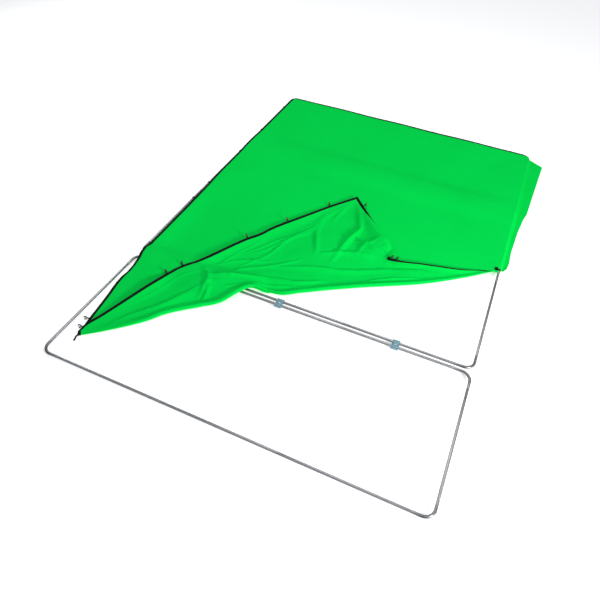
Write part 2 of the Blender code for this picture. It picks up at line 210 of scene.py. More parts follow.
def tube_mesh(name, length, centre_line):
    """A tube from its spigot end to its socket end, closed through the bore.

    centre_line(s) gives the centre and tangent at s, the distance past the shoulder's seam.
    """
    bends = getattr(centre_line, "bends", ())
    outside = [(-spigot_length, spigot_bore + rim_round), (-spigot_length + rim_round, spigot_radius),
               (seam_gap, spigot_radius), (seam_gap + 0.25 * shoulder_length, spigot_radius + 0.00035),
               (seam_gap + 0.8 * shoulder_length, tube_radius - 0.00015),
               (seam_gap + shoulder_length, tube_radius)]
    outside += [(s, tube_radius) for s in bends]
    outside += [(length - 2 * rim_round, tube_radius),
                (length - 0.3 * rim_round, tube_radius - 0.3 * rim_round), (length, tube_radius - rim_round)]
    inside = [(length, tube_bore + 0.2 * rim_round), (length - rim_round, tube_bore)]
    inside += [(s, tube_bore) for s in reversed(bends)]
    inside += [(seam_gap + shoulder_length, tube_bore), (seam_gap, spigot_bore), (-spigot_length, spigot_bore)]
    rings, stations, rub = [], [], []
    for s, radius in outside + inside:
        centre, tangent = centre_line(s)
        side = Vector((-tangent.y, tangent.x, 0.0))
        ring = []
        for k in range(tube_sides):
            angle = 2 * math.pi * k / tube_sides
            ring.append(centre + radius * (math.cos(angle) * side + math.sin(angle) * Vector((0, 0, 1))))
        rings.append(ring)
        stations.append(s)
        near_seam = min(abs(s - seam_gap - shoulder_length), abs(s - length))
        rub += [max(0.0, 1.0 - near_seam / 0.03) if s > 0 else 1.0] * tube_sides
    mesh = lofted_mesh(name, rings, stations, ring_loops=True)
    set_rub(mesh, rub)
    return mesh


def straight_line(start, direction):
    """The centre line of a straight section."""
    return lambda s: (start + s * direction, direction)


def elbow_line(corner, socket_way, spigot_way):
    """The centre line of an elbow, run from the seam at its spigot's shoulder to its socket."""
    quarter = math.pi / 2 * bend_radius
    straight = elbow_leg - bend_radius
    middle = corner + bend_radius * (socket_way + spigot_way)

    def at(s):
        if s < straight:
            return corner + (elbow_leg - s) * spigot_way, -spigot_way
        if s > straight + quarter:
            return corner + (bend_radius + s - straight - quarter) * socket_way, socket_way
        angle = (s - straight) / bend_radius
        centre = middle - bend_radius * (math.cos(angle) * socket_way + math.sin(angle) * spigot_way)
        return centre, -math.cos(angle) * spigot_way + math.sin(angle) * socket_way

    at.bends = [straight + quarter * k / bend_steps for k in range(bend_steps + 1)]
    at.length = 2 * straight + quarter
    return at


def shader_group(name, inputs, outputs):
    """An empty shader node group with named sockets, and its input and output nodes."""
    group = bpy.data.node_groups.new(name, "ShaderNodeTree")
    for label, kind, value in inputs:
        socket = group.interface.new_socket(label, in_out="INPUT", socket_type=kind)
        if value is not None:
            socket.default_value = value
    for label, kind in outputs:
        group.interface.new_socket(label, in_out="OUTPUT", socket_type=kind)
    return group, group.nodes.new("NodeGroupInput"), group.nodes.new("NodeGroupOutput")


def math_node(tree, operation, first, second=None, third=None):
    """A Math node fed by sockets or numbers; returns its output."""
    node = tree.nodes.new("ShaderNodeMath")
    node.operation = operation
    for socket, value in zip(node.inputs, (first, second, third)):
        if isinstance(value, bpy.types.NodeSocket):
            tree.links.new(value, socket)
        elif value is not None:
            socket.default_value = value
    return node.outputs[0]


def mixed_colour(tree, share, first, second):
    """A colour between two, each a socket or a plain colour; returns the output."""
    node = tree.nodes.new("ShaderNodeMix")
    node.data_type = "RGBA"
    for socket, value in zip((node.inputs[0], node.inputs[6], node.inputs[7]), (share, first, second)):
        if isinstance(value, bpy.types.NodeSocket):
            tree.links.new(value, socket)
        elif isinstance(value, tuple):
            socket.default_value = (*value, 1.0)
        else:
            socket.default_value = value
    return node.outputs[2]


# Blotches and grain: every finish here is a little uneven, at a size of its own.
grain_group, grain_in, grain_out = shader_group(
    "grain", (("Vector", "NodeSocketVector", None), ("Scale", "NodeSocketFloat", 40.0),
              ("Stretch", "NodeSocketVector", (1.0, 1.0, 1.0)), ("Contrast", "NodeSocketFloat", 1.0)),
    (("Value", "NodeSocketFloat"),))
grain_scaled = grain_group.nodes.new("ShaderNodeVectorMath")
grain_scaled.operation = "MULTIPLY"
grain_noise = grain_group.nodes.new("ShaderNodeTexNoise")
grain_noise.inputs["Detail"].default_value = 4.0
grain_noise.inputs["Roughness"].default_value = 0.6
grain_group.links.new(grain_in.outputs["Vector"], grain_scaled.inputs[0])
grain_group.links.new(grain_in.outputs["Stretch"], grain_scaled.inputs[1])
grain_group.links.new(grain_scaled.outputs[0], grain_noise.inputs["Vector"])
grain_group.links.new(grain_in.outputs["Scale"], grain_noise.inputs["Scale"])
grain_centred = math_node(grain_group, "SUBTRACT", grain_noise.outputs[0], 0.5)
grain_strong = math_node(grain_group, "MULTIPLY_ADD", grain_centred, grain_in.outputs["Contrast"], 0.5)
grain_kept = math_node(grain_group, "MAXIMUM", math_node(grain_group, "MINIMUM", grain_strong, 1.0), 0.0)
grain_group.links.new(grain_kept, grain_out.inputs["Value"])


def grain(tree, vector, scale, stretch=(1.0, 1.0, 1.0), contrast=1.0):
    """Place the grain group in a material; returns its value."""
    node = tree.nodes.new("ShaderNodeGroup")
    node.node_tree = grain_group
    tree.links.new(vector, node.inputs["Vector"])
    node.inputs["Scale"].default_value = scale
    node.inputs["Stretch"].default_value = stretch
    node.inputs["Contrast"].default_value = contrast
    return node.outputs["Value"]


def bump(tree, shader, height, distance, strength=1.0):
    """Feed a height to the shader's normal."""
    node = tree.nodes.new("ShaderNodeBump")
    node.inputs["Distance"].default_value = distance
    node.inputs["Strength"].default_value = strength
    tree.links.new(height, node.inputs["Height"])
    tree.links.new(node.outputs["Normal"], shader.inputs["Normal"])


def attribute_value(tree, name):
    """A point attribute's value in a material."""
    node = tree.nodes.new("ShaderNodeAttribute")
    node.attribute_name = name
    return node.outputs["Fac"]


def chart_vector(tree, name):
    """The piece's own UV map in a material."""
    node = tree.nodes.new("ShaderNodeUVMap")
    node.uv_map = name
    return node.outputs["UV"]


def object_vector(tree):
    """Object coordinates in a material."""
    return tree.nodes.new("ShaderNodeTexCoord").outputs["Object"]


aluminium, aluminium_shader = new_material("satin_aluminium", (0.32, 0.325, 0.335), 0.3, 1.0)
tree = aluminium.node_tree
chart = chart_vector(tree, "metres")
drawn_lines = grain(tree, chart, 900.0, (0.02, 1.0, 1.0), 1.4)
handling = grain(tree, object_vector(tree), 14.0, contrast=2.2)
scuffs = grain(tree, chart, 260.0, (1.0, 1.0, 1.0), 3.0)
rubbed = math_node(tree, "MULTIPLY", attribute_value(tree, "rub"), scuffs)
satin = mixed_colour(tree, handling, (0.19, 0.195, 0.205), (0.27, 0.275, 0.285))
lined = mixed_colour(tree, math_node(tree, "MULTIPLY", drawn_lines, 0.35), satin, (0.11, 0.115, 0.125))
tree.links.new(mixed_colour(tree, rubbed, lined, (0.58, 0.58, 0.60)), aluminium_shader.inputs["Base Color"])
dulled = math_node(tree, "MULTIPLY_ADD", handling, 0.16, 0.20)
tree.links.new(math_node(tree, "MULTIPLY_ADD", drawn_lines, 0.10, dulled), aluminium_shader.inputs["Roughness"])
bump(tree, aluminium_shader, drawn_lines, 0.00004)

x_way = Vector((1, 0, 0))
y_way = Vector((0, 1, 0))
elbow_turns = {"low_top": (x_way, y_way), "high_top": (-y_way, x_way),
               "high_bottom": (-x_way, -y_way), "low_bottom": (y_way, -x_way)}
panels = {"left_wing": ("outer", "inner"), "centre": ("left", "right"), "right_wing": ("inner", "outer")}
bodies = {"left_wing": "left_wing", "centre": "centre_frame", "right_wing": "right_wing"}
for panel, stiles in panels.items():
    nodes = [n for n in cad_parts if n.startswith(panel + "_")]
    for node in nodes:
        low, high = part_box(node)
        middle = (low + high) / 2
        part = node[len(panel) + 1:]
        side = "low" if part.startswith(stiles[0]) else "high"
        if part.endswith("_elbow"):
            end = "top" if "_top_" in part else "bottom"
            corner = Vector((low.x + tube_radius if end == "top" else high.x - tube_radius,
                             low.y + tube_radius if side == "low" else high.y - tube_radius, middle.z))
            line = elbow_line(corner, *elbow_turns[f"{side}_{end}"])
            mesh = tube_mesh(node + "_tube", line.length, line)
        elif "_stile_" in part or "_rail" in part:
            if "_stile_" in part:
                way = x_way if side == "low" else -x_way
            else:
                way = -y_way if part.startswith("top") else y_way
            seam = middle - way * abs((high - low).dot(way)) / 2 + way * spigot_length
            length = abs((high - low).dot(way)) - spigot_length
            mesh = tube_mesh(node + "_tube", length, straight_line(seam, way))
        else:
            continue
        piece = link_piece(node + "_tube", mesh, aluminium)
        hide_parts(node)
        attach(piece, bodies[panel])

# ---- snap buttons ---------------------------------------------------------------------------
# A sprung steel button in each elbow's socket leg locks the spigot inside it.  It is a turned pin with
# a domed, worn tip.  The centre frame's four are fixed here.
button_radius = 0.0028
button_foot = 0.0040
button_sides = 24


def turned_mesh(name, profile, sides, wave=None):
    """A solid turned about Z from (height, radius) rings, with flat ends; wave(angle) scales the radius."""
    rings = []
    for row in profile:
        height, radius = row[:2]
        lobed = len(row) > 2 and wave
        ring = []
        for k in range(sides):
            angle = 2 * math.pi * k / sides
            size = radius * (wave(angle) if lobed else 1.0)
            ring.append((size * math.cos(angle), size * math.sin(angle), height))
        rings.append(ring)
    heights = np.cumsum([0.0] + [math.dist(a[:2], b[:2]) for a, b in zip(profile, profile[1:])])
    return lofted_mesh(name, rings, heights, caps=True)


def dome(height, radius, rise, steps):
    """Profile rows of a dome that starts at a height with a radius and rises to its top."""
    rows = []
    for k in range(steps):
        angle = math.pi / 2 * k / steps
        rows.append((height + rise * math.sin(angle), radius * math.cos(angle)))
    rows.append((height + rise, radius * 0.04))
    return rows


steel, steel_shader = new_material("button_steel", (0.10, 0.10, 0.11), 0.35, 1.0)
tree = steel.node_tree
pitted = grain(tree, object_vector(tree), 900.0, contrast=2.5)
worn = math_node(tree, "MULTIPLY", attribute_value(tree, "rub"), pitted)
tree.links.new(mixed_colour(tree, worn, (0.07, 0.07, 0.08), (0.62, 0.60, 0.57)),
               steel_shader.inputs["Base Color"])
tree.links.new(math_node(tree, "MULTIPLY_ADD", grain(tree, object_vector(tree), 400.0), 0.25, 0.22),
               steel_shader.inputs["Roughness"])


def button_mesh(name, x, y, axis_z, tip):
    """One button, from the foot inside the spigot to its tip above the tube."""
    profile = [(0.0038, button_foot - 0.0003), (0.0041, button_foot), (0.0047, button_foot),
               (0.0050, button_foot - 0.0003), (0.0050, button_radius), (tip - 0.0012, button_radius)]
    profile += dome(tip - 0.0012, button_radius, 0.0012, 5)
    mesh = turned_mesh(name, profile, button_sides)
    set_rub(mesh, [1.0 if v.co.z > tip - 0.0014 else 0.0 for v in mesh.vertices])
    mesh.transform(Matrix.Translation((x, y, axis_z)))
    return mesh


for node in [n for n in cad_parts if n.endswith("_button")]:
    low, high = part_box(node)
    axis_z = high.z - 0.013
    mesh = button_mesh(node, (low.x + high.x) / 2, (low.y + high.y) / 2, axis_z, 0.013)
    piece = link_piece(node + "_cap", mesh, steel)
    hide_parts(node)
    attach(piece, node)

button_place = 0.082
for side, end in (("left", "top"), ("right", "top"), ("right", "bottom"), ("left", "bottom")):
    low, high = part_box(f"centre_{side}_{end}_elbow")
    corner = Vector((low.x + tube_radius if end == "top" else high.x - tube_radius,
                     low.y + tube_radius if side == "left" else high.y - tube_radius, (low.z + high.z) / 2))
    socket_way = elbow_turns[("low_" if side == "left" else "high_") + end][0]
    place = corner + button_place * socket_way
    mesh = button_mesh("pin", place.x, place.y, place.z, 0.0125)
    piece = link_piece(f"centre_{side}_{end}_button", mesh, steel)
    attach(piece, "centre_frame")

# The left wing's outer stile has one more small pin, which stands out to the front.
front_low, front_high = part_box("left_wing_outer_stile_bottom")
mesh = button_mesh("front_pin", 0, 0, 0, 0.0125)
mesh.transform(Matrix.Rotation(math.pi / 2, 4, "X"))
mesh.transform(Matrix.Translation((front_low.x + 0.191, (front_low.y + front_high.y) / 2,
                                   (front_low.z + front_high.z) / 2)))
piece = link_piece("left_wing_front_button", mesh, steel)
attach(piece, "left_wing")

# ---- link clamps ----------------------------------------------------------------------------
# Each clamp is one blue-grey nylon moulding that grips two tubes: a closed eye on the centre's stile and open
# jaws on the wing's, joined by a waisted web.  Raised rims run round the ends of both barrels.
link_distance = 0.040
clamp_half = 0.027
barrel_radius = 0.0145
barrel_waist = 0.0134
clamp_bore = 0.0103
web_half = 0.007
web_half_length = 0.016
slit_half = 0.001
lip_length = 0.007
lip_half = 0.005


def arc_points(centre, radius, start, end, steps):
    """Points on an arc, angles in degrees."""
    return [(centre + radius * math.cos(a), radius * math.sin(a))
            for a in np.radians(np.linspace(start, end, steps + 1))]


def clamp_ring(radius, trim):
    """The clamp's cross-section, with the same number of points for any barrel radius."""
    half = link_distance / 2
    lip = lip_half - trim
    lip_angle = math.degrees(math.asin(lip / radius))
    web_angle = math.degrees(math.asin((web_half - trim) / radius))
    slit_angle = math.degrees(math.asin(slit_half / clamp_bore))
    tip = half + barrel_radius + lip_length - trim
    top = [(-tip, slit_half), (-tip, lip - 0.001), (-tip + 0.001, lip)]
    top += arc_points(-half, radius, 180 - lip_angle, web_angle, 16)
    top += arc_points(half, radius, 180 - web_angle, lip_angle, 16)
    top += [(tip - 0.001, lip), (tip, lip - 0.001)]
    bottom = [(y, -z) for y, z in reversed(top)]
    inside = arc_points(-half, clamp_bore, 180 - slit_angle, slit_angle, 20)
    inside += arc_points(half, clamp_bore, 180 - slit_angle, 0, 20)
    lower_inside = [(y, -z) for y, z in inside[:-1]]
    return top + bottom + lower_inside + list(reversed(inside))


def clamp_pattern():
    """The moulding at the origin, its jaws towards -Y, with the web waisted and bored."""
    stations = [(clamp_half, barrel_radius - 0.0007, 0.0006), (clamp_half - 0.0008, barrel_radius, 0.0),
                (clamp_half - 0.0045, barrel_radius, 0.0), (clamp_half - 0.0058, barrel_waist, 0.0),
                (0.010, barrel_waist, 0.0), (0.0088, barrel_radius - 0.0004, 0.0),
                (0.0068, barrel_radius - 0.0004, 0.0), (0.0056, barrel_waist, 0.0)]
    stations = [(-x, r, t) for x, r, t in stations] + [(x, r, t) for x, r, t in reversed(stations)]
    bm = bmesh.new()
    rings = [[bm.verts.new((x, y, z)) for y, z in clamp_ring(r, t)] for x, r, t in stations]
    count = len(rings[0])
    for a, b in zip(rings, rings[1:]):
        for k in range(count):
            n = (k + 1) % count
            bm.faces.new((a[k], a[n], b[n], b[k]))
    for ring in (rings[0], rings[-1]):
        bm.faces.new(ring)
    bmesh.ops.recalc_face_normals(bm, faces=bm.faces)
    mesh = bpy.data.meshes.new("clamp_pattern")
    bm.to_mesh(mesh)
    bm.free()
    body = bpy.data.objects.new("clamp_pattern", mesh)
    bpy.context.scene.collection.objects.link(body)
    cutters = []
    valley = link_distance / 2 - barrel_radius
    for side in (-1, 1):
        cutter = bmesh.new()
        bmesh.ops.create_cone(cutter, cap_ends=True, segments=40, radius1=0.0102, radius2=0.0102, depth=0.06,
                              matrix=Matrix.Diagonal((1.0, 2 * valley / 0.0204, 1.0, 1.0)))
        bmesh.ops.translate(cutter, verts=cutter.verts, vec=(side * (web_half_length + 0.0098), 0, 0))
        cutters.append(cutter)
    cutter = bmesh.new()
    bmesh.ops.create_cone(cutter, cap_ends=True, segments=24, radius1=0.00345, radius2=0.00345, depth=0.06)
    cutters.append(cutter)
    objects = []
    for cutter in cutters:
        cutter_mesh = bpy.data.meshes.new("cutter")
        cutter.to_mesh(cutter_mesh)
        cutter.free()
        obj = bpy.data.objects.new("cutter", cutter_mesh)
        bpy.context.scene.collection.objects.link(obj)
        modifier = body.modifiers.new("cut", "BOOLEAN")
        modifier.object = obj
        modifier.operation = "DIFFERENCE"
        modifier.solver = "EXACT"
        objects.append(obj)
    graph = bpy.context.evaluated_depsgraph_get()
    finished = bpy.data.meshes.new_from_object(body.evaluated_get(graph))
    for obj in [body] + objects:
        bpy.data.objects.remove(obj)
    return finished


nylon, nylon_shader = new_material("clamp_nylon", (0.10, 0.22, 0.26), 0.42)
tree = nylon.node_tree
mottle = grain(tree, object_vector(tree), 60.0, contrast=1.6)
pits = grain(tree, object_vector(tree), 2600.0, contrast=1.2)
scuffs = grain(tree, object_vector(tree), 330.0, (1.0, 0.35, 1.0), 4.5)
faded = mixed_colour(tree, mottle, (0.10, 0.22, 0.27), (0.16, 0.31, 0.36))
tree.links.new(mixed_colour(tree, math_node(tree, "MULTIPLY", scuffs, 0.28), faded, (0.42, 0.56, 0.62)),
               nylon_shader.inputs["Base Color"])
tree.links.new(math_node(tree, "MULTIPLY_ADD", scuffs, 0.2, 0.34), nylon_shader.inputs["Roughness"])
bump(tree, nylon_shader, pits, 0.00008)

clamp_mesh = clamp_pattern()
for node in [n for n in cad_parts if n.endswith("_clamp")]:
    low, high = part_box(node)
    turn = 0 if node.startswith("left") else math.pi
    mesh = clamp_mesh.copy()
    mesh.transform(Matrix.Translation((low + high) / 2) @ Matrix.Rotation(turn, 4, "Z"))
    piece = link_piece(node + "_moulding", mesh, nylon)
    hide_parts(node)
    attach(piece, "centre_frame")

# ---- clamp knobs and cap nuts ---------------------------------------------------------------
# A six-lobed hand knob under each clamp turns a zinc-plated stud, which closes the jaws.  The stud ends in a
# domed cap nut, held in the web's top.  The knob's grip is black moulded plastic with a dished underside.
knob_radius = 0.015
knob_valley = 0.0126
knob_thickness = 0.008
knob_round = 0.0015
knob_collar = 0.006
stud_radius = 0.003
knob_sides = 96
cap_radius = 0.0066

knob_plastic, knob_shader = new_material("knob_plastic", (0.03, 0.03, 0.035), 0.45)
tree = knob_plastic.node_tree
gloss = grain(tree, object_vector(tree), 180.0, contrast=2.0)
tree.links.new(mixed_colour(tree, gloss, (0.018, 0.019, 0.022), (0.06, 0.062, 0.068)),
               knob_shader.inputs["Base Color"])
tree.links.new(math_node(tree, "MULTIPLY_ADD", gloss, 0.25, 0.33), knob_shader.inputs["Roughness"])
bump(tree, knob_shader, grain(tree, object_vector(tree), 2200.0), 0.00008)

zinc, zinc_shader = new_material("zinc_plate", (0.55, 0.68, 0.80), 0.3, 1.0)
tree = zinc.node_tree
bloom = grain(tree, object_vector(tree), 500.0, contrast=2.0)
tree.links.new(mixed_colour(tree, bloom, (0.42, 0.58, 0.72), (0.72, 0.84, 0.93)),
               zinc_shader.inputs["Base Color"])
tree.links.new(math_node(tree, "MULTIPLY_ADD", bloom, 0.2, 0.22), zinc_shader.inputs["Roughness"])


def knob_wave(angle):
    """The knob's outline: broad lobes with narrower valleys."""
    share = (0.5 + 0.5 * math.cos(6 * angle)) ** 0.6
    return (knob_valley + (knob_radius - knob_valley) * share) / knob_radius


for node in [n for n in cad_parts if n.endswith("_knob")]:
    low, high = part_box(node)
    top = low.z + knob_thickness
    grip = [(low.z + 0.0012, 0.006), (low.z + 0.0012, 0.0085), (low.z + 0.0002, 0.0095)]
    grip += [(low.z, 0.0104)]
    for k in range(5):
        angle = math.pi / 2 * k / 4
        grip.append((low.z + knob_round * (1 - math.cos(angle)),
                     knob_radius - knob_round * (1 - math.sin(angle)), 1))
    for k in range(5):
        angle = math.pi / 2 * k / 4
        grip.append((top - knob_round * (1 - math.sin(angle)),
                     knob_radius - knob_round * (1 - math.cos(angle)), 1))
    grip += [(top, knob_collar + 0.0016), (top + 0.0006, knob_collar + 0.0004), (top + 0.0016, knob_collar)]
    web_under = top + barrel_radius - web_half
    grip += [(web_under - 0.0004, knob_collar), (web_under, knob_collar - 0.0004)]
    mesh = turned_mesh(node, grip, knob_sides, knob_wave)
    mesh.transform(Matrix.Translation(((low.x + high.x) / 2, (low.y + high.y) / 2, 0)))
    piece = link_piece(node + "_grip", mesh, knob_plastic)
    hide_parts(node)
    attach(piece, node)
    pitch = 0.001
    thread = [(web_under - pitch, stud_radius - 0.0002)]
    crest = web_under
    while crest < high.z - 0.0012:
        thread += [(crest, stud_radius - 0.0003), (crest + 0.4 * pitch, stud_radius)]
        crest += pitch
    thread += [(high.z - 0.0006, stud_radius - 0.0002), (high.z, stud_radius - 0.0008)]
    mesh = turned_mesh(node + "_thread", thread, 24)
    mesh.transform(Matrix.Translation(((low.x + high.x) / 2, (low.y + high.y) / 2, 0)))
    piece = link_piece(node + "_stud", mesh, zinc)
    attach(piece, node)
    web_top = high.z - 0.002
    skirt = [(web_top + 0.0001, cap_radius - 0.0004), (web_top + 0.0001, cap_radius),
             (web_top + 0.0008, cap_radius), (web_top + 0.0010, cap_radius - 0.0008),
             (web_top + 0.0022, cap_radius - 0.0008)]
    skirt += dome(web_top + 0.0022, cap_radius - 0.0008, 0.0020, 8)
    mesh = turned_mesh(node + "_cap_nut", skirt, 48)
    mesh.transform(Matrix.Translation(((low.x + high.x) / 2, (low.y + high.y) / 2, 0)))
    piece = link_piece(node.replace("knob", "cap_nut"), mesh, zinc)
    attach(piece, "centre_frame")

# ---- green cover ----------------------------------------------------------------------------
# One sheet of matt green cloth, 4.0 m long and 2.775 m across with the flap at its foot.
# The right half is clipped on.  The front corner at the foot is carried back over the rest, and the fabric
# between lies in soft folds.  Places are metres from the corner of the tubes' axes at the left wing's top.
rail_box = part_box("centre_top_rail_left")
front_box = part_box("left_wing_outer_stile_middle")
back_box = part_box("right_wing_outer_stile_middle")
foot_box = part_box("centre_bottom_rail_left")
left_link_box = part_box("left_wing_inner_stile_middle")
right_link_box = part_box("right_wing_inner_stile_middle")
origin = np.array([(rail_box[0].x + rail_box[1].x) / 2, (front_box[0].y + front_box[1].y) / 2,
                   (rail_box[0].z + rail_box[1].z) / 2])
foot_x = (foot_box[0].x + foot_box[1].x) / 2 - origin[0]
back_y = (back_box[0].y + back_box[1].y) / 2 - origin[1]
left_hinge_y = (left_link_box[0].y + left_link_box[1].y) / 2 - origin[1]
right_hinge_y = (right_link_box[0].y + right_link_box[1].y) / 2 - origin[1]
flap_width = 0.146
cloth_width, cloth_length = foot_x + flap_width, back_y
cloth_thick = 0.0008
layer_gap = 0.0035
ground = 0.0018 - origin[2]
on_tube = tube_radius + 0.0012
over_link = 0.0200                   # clears the clamps and the wing's buttons
over_corner = 0.0258                 # clears the wing's bend when the wing is swung up
pile_top = 0.090


def route(points, shares):
    """Points on a smooth line through the given ones, at shares of its length."""
    points = np.array(points, float)
    chord = np.concatenate([[0.0], np.cumsum(np.linalg.norm(np.diff(points, axis=0), axis=1))])
    span_slope = np.diff(points, axis=0) / np.diff(chord)[:, None]
    slope = np.vstack([span_slope[:1], np.zeros_like(span_slope[1:]), span_slope[-1:]])
    before, after = span_slope[:-1], span_slope[1:]
    turning = before * after <= 0
    slope[1:-1] = np.where(turning, 0.0, 2 * before * after / np.where(turning, 1.0, before + after))
    fine = np.linspace(0, chord[-1], 1200)
    span = np.clip(np.searchsorted(chord, fine, side="right") - 1, 0, len(chord) - 2)
    step = (chord[span + 1] - chord[span])[:, None]
    t = (fine[:, None] - chord[span][:, None]) / step
    line = ((2 * t**3 - 3 * t**2 + 1) * points[span] + (t**3 - 2 * t**2 + t) * step * slope[span]
            + (-2 * t**3 + 3 * t**2) * points[span + 1] + (t**3 - t**2) * step * slope[span + 1])
    length = np.concatenate([[0.0], np.cumsum(np.linalg.norm(np.diff(line, axis=0), axis=1))])
    wanted = np.asarray(shares) * length[-1]
    return np.stack([np.interp(wanted, length, line[:, k]) for k in range(points.shape[1])], axis=-1)


def ease(value, low, high):
    """0 below low, 1 above high, smooth between."""
    t = np.clip((value - low) / (high - low), 0.0, 1.0)
    return t * t * (3 - 2 * t)


def resting_height(x, y):
    """Height of the lower layer over the tubes' axes, from what holds it up."""
    beside_rail = np.minimum(np.abs(x), np.abs(foot_x - x))
    beside_tube = np.minimum(beside_rail, np.abs(back_y - y))
    taut = on_tube - 0.015 * (1 - np.exp(-(np.maximum(beside_tube - 0.02, 0) / 0.30) ** 2))
    has_rail = ease(y, 1.12, 1.24)
    loose = ground + has_rail * (0.006 - ground) * np.exp(-(np.maximum(beside_rail - 0.02, 0) / 0.10) ** 2)
    height = loose + ease(y, 1.75, 2.35) * (taut - loose)
    from_left_link = np.abs(y - left_hinge_y - link_distance / 2) - 0.046
    left_top = over_link + (over_corner - over_link) * (1 - ease(x, 0.10, 0.24))
    left_link = ground + (left_top - ground) * (1 - ease(from_left_link, 0.0, 0.17))
    from_right_link = np.abs(y - right_hinge_y + link_distance / 2) - 0.048
    right_link = taut + (over_link - taut) * (1 - ease(from_right_link, 0.0, 0.20))
    beyond_fold = ease(x, 0.98, 1.10) * ease(-y, -2.0, -1.9)
    left_link = left_link + beyond_fold * (ground - left_link)
    return np.maximum(np.maximum(height, left_link), np.where(y > 2.4, right_link, -1.0))


def patch(bottom, top, left, right, across, rows):
    """A sheet spanned between four edges, its last rows a hem's width apart; returns points and shares."""
    fine = np.linspace(0, 1, len(left))
    shares = np.tile(np.linspace(0, 1, rows), (len(across), 1))
    for _ in range(3):
        sides = [np.stack([np.interp(shares, fine, side[:, k]) for k in range(bottom.shape[1])], axis=-1)
                 for side in (left, right)]
        a, b = across[:, None, None], shares[..., None]
        spanned = ((1 - b) * bottom[:, None] + b * top[:, None] + (1 - a) * sides[0] + a * sides[1]
                   - (1 - a) * (1 - b) * bottom[0] - a * (1 - b) * bottom[-1]
                   - (1 - a) * b * top[0] - a * b * top[-1])
        length = np.linalg.norm(np.diff(spanned[..., :2], axis=1), axis=-1).sum(axis=1)
        hem_shares = np.minimum(hem_steps[::-1] / length[:, None], 0.4 * hem_steps[::-1] / hem_steps[-1])
        body = np.linspace(0, 1, rows - 4) * (1 - 1.4 * hem_shares[:, :1])
        shares = np.concatenate([body, 1 - hem_shares], axis=1)
    return spanned, shares


fold_line = ((0.112, 0.205), (0.251, 0.317), (0.451, 0.506), (0.547, 0.632), (0.735, 0.800), (0.846, 0.897),
             (0.913, 0.993), (0.966, 1.080), (1.070, 1.128), (1.190, 1.152), (1.309, 1.233), (1.499, 1.361),
             (1.717, 1.499), (2.096, 1.726), (2.431, 1.977), (2.585, 2.095))
front_edge = ((0.092, 0.240, -0.015), (0.095, 0.303, -0.013), (0.138, 0.420, -0.008), (0.335, 0.948, 0.0205),
              (0.388, 1.062, 0.0205), (0.454, 1.161, 0.019), (0.676, 1.589, 0.013), (0.744, 1.689, 0.012),
              (0.798, 1.803, 0.012), (0.949, 2.039, 0.012), (1.135, 2.316, 0.014), (1.243, 2.457, 0.018),
              (1.300, 2.524, 0.024))
right_edge = ((2.609, 2.125, 0.012), (2.480, 2.065, 0.012), (2.364, 2.013, 0.015), (2.085, 1.935, 0.020),
              (1.880, 1.872, 0.028), (1.812, 1.862, 0.030), (1.795, 1.900, 0.026), (1.792, 1.960, 0.022),
              (1.776, 2.043, 0.018), (1.700, 2.098, 0.016), (1.619, 2.172, 0.016), (1.548, 2.250, 0.017),
              (1.466, 2.340, 0.020), (1.380, 2.437, 0.022), (1.300, 2.524, 0.024))
hump_line = ((1.440, 2.335), (1.505, 2.262), (1.528, 2.238), (1.605, 2.156), (1.688, 2.080), (1.752, 2.025),
             (1.770, 1.950))
left_hem = ((0.092, 0.240), (0.076, 0.390), (0.050, 0.600), (0.026, 0.760), (0.024, 0.830), (0.042, 0.900),
            (0.046, 0.985), (0.028, 1.045), (0.0150, 1.120), (0.0135, 1.500), (0.0105, 1.900),
            (0.0070, 2.120), (0.000, 2.350), (0.000, 3.930), (0.0035, 3.955), (0.025, 3.988))
back_hem = ((0.025, 3.988), (0.039, 3.9965), (0.065, 4.002), (2.564, 4.002), (2.590, 3.9965), (2.604, 3.988))
foot_line = ((2.609, 2.125), (2.622, 2.220), (2.629, 2.400), (2.629, 3.930), (2.6265, 3.950), (2.619, 3.972),
             (2.604, 3.988))

hem_steps = np.array([0.0, 0.008, 0.016, 0.024])
across = np.concatenate([hem_steps / foot_x, np.linspace(0.016, 0.984, 146), 1 - hem_steps[::-1] / foot_x])
columns = len(across)
top_rows = 130
base_rows = 64
side_shares = np.linspace(0, 1, 600)

# The top layer, from the fold to the loose edge.
fold_outer = route(fold_line, across)
fold_tangent = np.gradient(fold_outer, axis=0)
fold_tangent /= np.linalg.norm(fold_tangent, axis=1)[:, None]
fold_out = np.stack([fold_tangent[:, 1], -fold_tangent[:, 0]], axis=-1)
roll_radius = 0.003 + 0.013 * ease(across, 0.0, 0.2) - 0.010 * ease(across, 0.72, 1.0)
fold_centre = fold_outer - fold_out * roll_radius[:, None]
edge_line = route(front_edge, across)
loose_side = route(right_edge, side_shares)
to_fold = fold_centre[-1] - np.array(right_edge[0][:2])
loose_side[:, :2] += (1 - ease(side_shares, 0.0, 0.08))[:, None] * to_fold
tip_side = fold_centre[0] + side_shares[:, None] * (edge_line[0, :2] - fold_centre[0])
top_xy, b_grid = patch(fold_centre, edge_line[:, :2], tip_side, loose_side[:, :2], across, top_rows)
top_x, top_y = top_xy[..., 0], top_xy[..., 1]
a_grid = np.tile(across[:, None], (1, top_rows))


def swell(x, y, centre, radii, degrees, height):
    """A rounded rise, its longer radius turned from +X."""
    c, s = math.cos(math.radians(degrees)), math.sin(math.radians(degrees))
    dx, dy = x - centre[0], y - centre[1]
    return height * np.exp(-((c * dx + s * dy) / radii[0]) ** 2 - ((-s * dx + c * dy) / radii[1]) ** 2)


